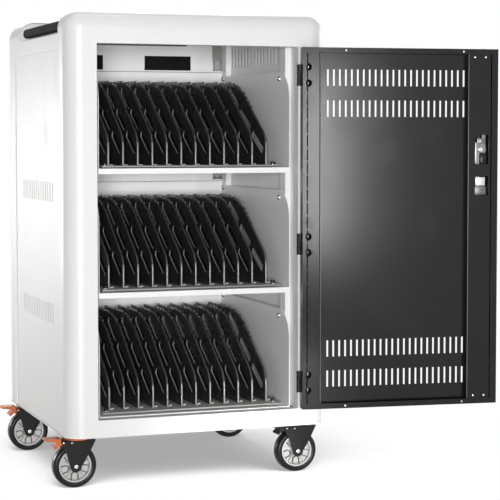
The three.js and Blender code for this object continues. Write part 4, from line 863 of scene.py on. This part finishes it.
LOW, HIGH = 175.8, 1050.2
HOLES = [z + shift for z in HINGES for shift in (-19.5, 19.5)]
edge = []
for z in sorted(HOLES):
    edge += [(-15.2, z - 8.3), (-17, z - 8.5), (-21, z - 7.5), (-24, z - 4.6), (-25.5, z),
             (-24, z + 4.6), (-21, z + 7.5), (-17, z + 8.5), (-15.2, z + 8.3)]
bm = filled([[(-47, LOW), (-15.2, LOW)] + edge + [(-15.2, HIGH), (-47, HIGH)]], 1.5)
bm.transform(Matrix.Translation((0, 25.45, 0)) @ Matrix.Rotation(pi / 2, 4, "X"))
z = LOW + 8
while z < HIGH - 4:
    if min(abs(z - h) for h in HOLES) > 12:
        block(bm, (-15.4, -11.4), (24.7, 26.2), (z - 2.6, z + 2.6))
    z += 33
block(bm, (-47, -45.5), (7.8, 25), (LOW, HIGH))
part("hinge_stiffener", bm, DOOR, charcoal, "front_door", ["door_hinge_channel"], 0.35)
# Dark blocks paint the shadow behind the slits and the shade of a groove along the stiffener's far fold.
bm = bmesh.new()
block(bm, (-16, -11.6), (20, 22), (LOW + 4, HIGH - 4))
block(bm, (-46.3, -43.9), (26.1, 26.3), (LOW + 4, HIGH - 4))
part("slit_shadow", bm, DOOR, shade_black, "front_door")
# Two thin grey strips paint the highlight on the bent edges of the hinge and lock channels.
bm = bmesh.new()
block(bm, (-47.4, -46.4), (25.4, 26.4), (LOW, HIGH), 0.3, 2)
block(bm, (-424.6, -423.6), (25.5, 26.5), (LOW, HIGH), 0.3, 2)
part("channel_edge_highlights", bm, DOOR, edge_highlight_grey, "front_door")
print("stiffener with", len(HOLES), "access holes")

# %% Door fixings
bm = bmesh.new()
for z in HOLES:
    rod(bm, "Y", (-17, 9.2, z), 5.2, 3.4, 6, 0.5)
    rod(bm, "Y", (-17, 13, z), 3, 6, 14, 0.8)
for x in (-440, -468):
    for z in (1032, 194):
        screw(bm, (x, 26.8, z), (0, 1, 0), 2.6, 1.4, recess=False)
for x in (-110, -410):
    for z in (180.5, 1045.5):
        screw(bm, (x, 28.4, z), (0, 1, 0), 2.4, 1.4)
part("door_fixings", bm, DOOR, zinc_plate, "front_door")
print("door fixings made")

# %% [markdown]
# ## Hinges
# Each hinge is a lift-off pair: a leaf and pin on the stile, a barrel on the door. The barrels are turned rods with
# eased ends, the leaves are plates with rounded corners, and each leaf carries two countersunk screws. Pin and barrel
# are kept apart so that the door can swing on them without a clash.

# %% Hinges
for name, z in zip(("top", "middle", "bottom"), HINGES):
    for side, body, bench, node in ((1, "cabinet", CABINET @ Matrix.Translation((251, -331, 0)), "hinge_leaf"),
                                    (-1, "front_door", DOOR, "door_knuckle")):
        bm = bmesh.new()
        low, high = (z - 26, z) if side > 0 else (z + 0.3, z + 26)
        third = (high - low) / 3
        for i in range(3):
            rod(bm, "Z", (0, 0, low + third * (i + 0.5)), 5.5, third - 0.5, 24, 0.6)
        rod(bm, "Z", (0, 0, (low + high) / 2), 4.9, high - low - 0.6, 16)
        block(bm, sorted((side * 6.3, side * 27)), (3.5, 5.7), (z - 26, z + 26), 0.7, 2)
        block(bm, sorted((side * 1, side * 7)), (3.5, 5.7), (low + 0.2, high - 0.2), 0.4, 2)
        for shift in (-15, 15):
            screw(bm, (side * 18, 3.0, z + shift), (0, -1, 0), 4.2, 1.6)
        if side > 0:
            rod(bm, "Z", (0, 0, z + 11), 2.4, 24, 14, 0.8)
        part(f"{node}_{name}_made", bm, bench, black_steel, body, [f"{node}_{name}"])
print("hinges made")

# %% [markdown]
# ## Lock
# A lever outside turns the spindle, and a disc on it drives two flat rods into the head and the sill. Inside, two
# windows in the channel show the works: rods, disc screw and bright brackets. The lever, its shield and the key
# cylinder are CAD solids with eased edges, since a moulded handle has no sharp corner.

# %% Lock
for node, look, body, slot, ease in (
        ("handle_escutcheon", black_plastic, "front_door", "black_plastic", 1.4),
        ("swing_handle", black_plastic, "swing_handle", "black_plastic", 1.6),
        ("key_cylinder", chrome_plate, "key_cylinder", "chrome", 0.35),
        ("lock_spindle", works_zinc, "lock_spindle", "zinc", 0.4),
        ("lock_rod_upper", works_zinc, "upper_bolt", "zinc", 0.5),
        ("lock_rod_lower", works_zinc, "lower_bolt", "zinc", 0.5)):
    part(node + "_made", borrowed(node), None, look, body, [node], ease)
bm = bmesh.new()
screw(bm, (-459, 19.4, 805), (0, 1, 0), 6.4, 3.4)
rod(bm, "Y", (-459, 16, 805), 2.0, 4, 12)
part("spindle_screw", bm, DOOR, chrome_plate, "lock_spindle")
bm = bmesh.new()
block(bm, (-447.2, -443.4), (19.4, 20.6), (769.6, 822), 0.4, 2)
screw(bm, (-456, 21.2, 826), (0, 1, 0), 3.2, 1.8)
block(bm, (-469, -444), (18.0, 23.6), (715.5, 737), 1.2, 3)
part("lock_brackets", bm, DOOR, zinc_plate, "front_door")
bm = bmesh.new()
block(bm, (-471, -449), (19.2, 20.4), (818, 833), 0.5, 2)
block(bm, (-475, -443.5), (18.0, 19.6), (692.5, 714), 0.5, 2)
screw(bm, (-461, 20.2, 702), (0, 1, 0), 5.0, 2.0)
part("lock_plates", bm, DOOR, works_zinc, "front_door")
bm = bmesh.new()
block(bm, (-474, -456.5), (19.4, 20.8), (765, 796), 0.5, 2)
part("lock_cover_plate", bm, DOOR, charcoal, "front_door")
print("lock made")

# %% [markdown]
# ## Rear door lock, power strips and inlet
# The back is plain: a cam lock, a mains inlet, and behind the door three outlet strips. They are CAD solids with eased
# edges; zinc contacts in the outlets and three pins in the inlet finish them.

# %% Power and rear lock
part("rear_cam_made", borrowed("rear_cam_lock"), None, chrome_plate, "rear_cam_lock", ["rear_cam_lock"], 0.4)
part("inlet_made", borrowed("power_inlet"), None, black_plastic, "cabinet", ["power_inlet"], 0.5)
bm = bmesh.new()
for x, z in ((173, 172), (187, 172), (180, 165)):
    block(bm, (x - 1, x + 1), (294, 316), (z - 2.2, z + 2.2), 0.4, 2)
part("inlet_pins", bm, CABINET, zinc_plate, "cabinet")
bm = bmesh.new()
for x in (160.5, 199.5):
    screw(bm, (x, 328.3, 170), (0, 1, 0), 3.4, 1.6)
part("inlet_screws", bm, CABINET, zinc_plate, "cabinet")
bm = bmesh.new()
for bay, level in LEVELS.items():
    node = f"power_strip_{bay}"
    part(node + "_made", borrowed(node), None, black_plastic, "cabinet", [node], 0.8)
    for i in range(6):
        x, z = (i - 2.5) * 400 / 6, level + 122
        for shift in (-6, 6):
            block(bm, (x + shift - 1, x + shift + 1), (242, 242.6), (z - 4, z + 4))
        rod(bm, "Y", (x, 242.3, z - 8), 2.2, 0.6, 12)
part("outlet_contacts", bm, CABINET, zinc_plate, "cabinet")
print("power and rear lock made")

# %% [markdown]
# ## Casters
# The four casters are the same, so one set of functions draws each piece about its swivel axis and it is placed four
# times. Tyre and wheel centre are turned: a profile is spun round the axle. The fork is a folded plate on each side of
# the wheel, drawn as an outline, thickened and rounded at its corners.

# %% Caster pieces
HUB = (-6, 53)


def spun(bm, profile, middle, steps):
    ring = [bm.verts.new((middle[0], y, middle[1] + r)) for r, y in profile]
    edges = [bm.edges.new(pair) for pair in zip(ring, ring[1:] + ring[:1])]
    bmesh.ops.spin(bm, geom=ring + edges, cent=(middle[0], 0, middle[1]), axis=(0, 1, 0), angle=2 * pi, steps=steps,
                   use_merge=True)
    bmesh.ops.remove_doubles(bm, verts=bm.verts, dist=0.001)
    bmesh.ops.recalc_face_normals(bm, faces=bm.faces)


def tyre():
    bm = bmesh.new()
    half = [(40.4, 14.6), (42, 15.4), (46, 15.9), (49, 15.2), (51.4, 12.8), (52.7, 9.5), (53, 6)]
    spun(bm, [(r, -y) for r, y in half] + [(r, y) for r, y in reversed(half)], HUB, 64)
    return bm


def wheel_centre():
    bm = bmesh.new()
    half = [(5.4, 18.4), (12.5, 18.4), (14, 17), (14.4, 6), (16.5, 4), (32.5, 4), (34.6, 6), (35.4, 13.2), (36.4, 14),
            (39.6, 14)]
    spun(bm, [(r, -y) for r, y in half] + [(r, y) for r, y in reversed(half)], HUB, 60)
    for face in (0, 1):
        for k in range(5):
            arch = bmesh.new()
            flat = arch.faces.new([arch.verts.new((u, v, 0)) for u, v in ((7.2, 3), (9.2, 3), (9.2, 9), (7.2, 9))])
            bmesh.ops.spin(arch, geom=[flat, *flat.edges, *flat.verts], cent=(0, 0, 0), axis=(0, 1, 0), angle=pi, steps=10)
            for side in (-1, 1):
                block(arch, sorted((side * 7.2, side * 9.2)), (3, 9), (0, 11))
            bmesh.ops.recalc_face_normals(arch, faces=arch.faces)
            # The arches are painted dark grey all over: painted shade for the grooves round them on the real hub.
            for f in arch.faces:
                f.material_index = 1
            about = Matrix.Translation((HUB[0], 0, HUB[1])) @ Matrix.Rotation(pi * face, 4, "Z")
            join(bm, arch, about @ Matrix.Rotation(2 * pi * k / 5 + pi, 4, "Y") @ Matrix.Translation((0, 0, 24)))
            rib = bmesh.new()
            block(rib, (-1.6, 1.6), (3, 12), (13, 35), 0.6, 2)
            join(bm, rib, about @ Matrix.Rotation(2 * pi * (k + 0.5) / 5 + pi, 4, "Y"))
    return bm


def fork():
    bm = bmesh.new()
    foot = [(HUB[0] - 14 * cos(radians(a)), HUB[1] - 14 * sin(radians(a))) for a in range(0, 181, 20)]
    leg = [(-39, 115.2), (-39, 102.2), (-28, 83)] + foot + [(29, 85.2), (43, 112.2), (43, 115.2)]
    for side in (-1, 1):
        plate = outline_plate(leg, "Y", sorted((side * 19, side * 22)))
        saw(plate, (6, 0, 0), (1, 0, 0))
        lean = Matrix(((1, 0, 0, 0), (-side * 0.12, 1, 0, side * 0.72), (0, 0, 1, 0), (0, 0, 0, 1)))
        bmesh.ops.transform(plate, matrix=lean, verts=[v for v in plate.verts if v.co.x > 6.01])
        join(bm, plate)
    block(bm, (-39, 43), (-22, 22), (112.2, 115.2), 1.2, 3)
    return bm


def pedal():
    outline = [(-29, 104), (-29, 110), (-40.6, 110), (-40.6, 121), (-78, 121.3), (-81, 119), (-79, 116.6), (-54, 113),
               (-52, 107), (-60, 98.4), (-56, 95), (-46, 103)]
    bm = outline_plate(outline, "Y", (-17.6, 17.6), 1.2)
    rod(bm, "Y", (-32, 0, 107), 3.6, 37.2, 16)
    return bm


# %% Casters in place
CORNERS = ("front_left", "front_right", "rear_left", "rear_right")
for name in CORNERS:
    low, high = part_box(f"caster_plate_{name}")
    bench = Matrix.Translation(((low.x + high.x) / 2, (low.y + high.y) / 2, 0)) @ Matrix.Scale(0.001, 4)
    swivel, wheel, brake = f"swivel_{name}", f"wheel_{name}", f"brake_{name}"
    part(f"tyre_{name}", tyre(), bench, tyre_black, wheel, [f"caster_tyre_{name}"])
    part(f"wheel_centre_{name}", wheel_centre(), bench, (hub_grey, hub_groove_shade), wheel,
         [f"caster_wheel_{name}"], 0.3)
    part(f"fork_{name}", fork(), bench, black_steel, swivel, [f"caster_fork_{name}"], 0.5)
    bm = bmesh.new()
    rod(bm, "Y", (HUB[0], 0, HUB[1]), 5, 44, 16)
    for side in (-1, 1):
        rod(bm, "Y", (HUB[0], side * 23.6, HUB[1]), 5.4, 3.6, 6, 0.9)
        screw(bm, (-15, side * 22.6, 110.5), (0, side, 0), 2.5, 1.8)
        screw(bm, (-35.5, side * 22.6, 111.5), (0, side, 0), 2.5, 1.8)
    part(f"axle_bolt_{name}", bm, bench, zinc_plate, swivel)
    bm = bmesh.new()
    block(bm, (-40, 40), (-40, 40), (126, 130), 1.0, 3)
    rod(bm, "Z", (0, 0, 122.8), 26, 6.4, 40, 0.8)
    part(f"caster_plate_{name}_made", bm, bench, black_steel, "cabinet", [f"caster_plate_{name}"])
    bm = bmesh.new()
    rod(bm, "Z", (0, 0, 123.2), 37, 4.6, 56, 1.6)
    look, slot = (orange_plastic, "orange_plastic") if "left" in name else (black_steel, "black_steel")
    part(f"race_ring_{name}", bm, bench, look, "cabinet")
    part(f"pedal_{name}", pedal(), bench, look, brake, [f"caster_brake_{name}"], 1.0)
    bm = bmesh.new()
    rod(bm, "Z", (0, 0, 117.2), 28, 4, 40, 1.2)
    part(f"swivel_ring_{name}", bm, bench, look, swivel)
print("casters", len(CORNERS))
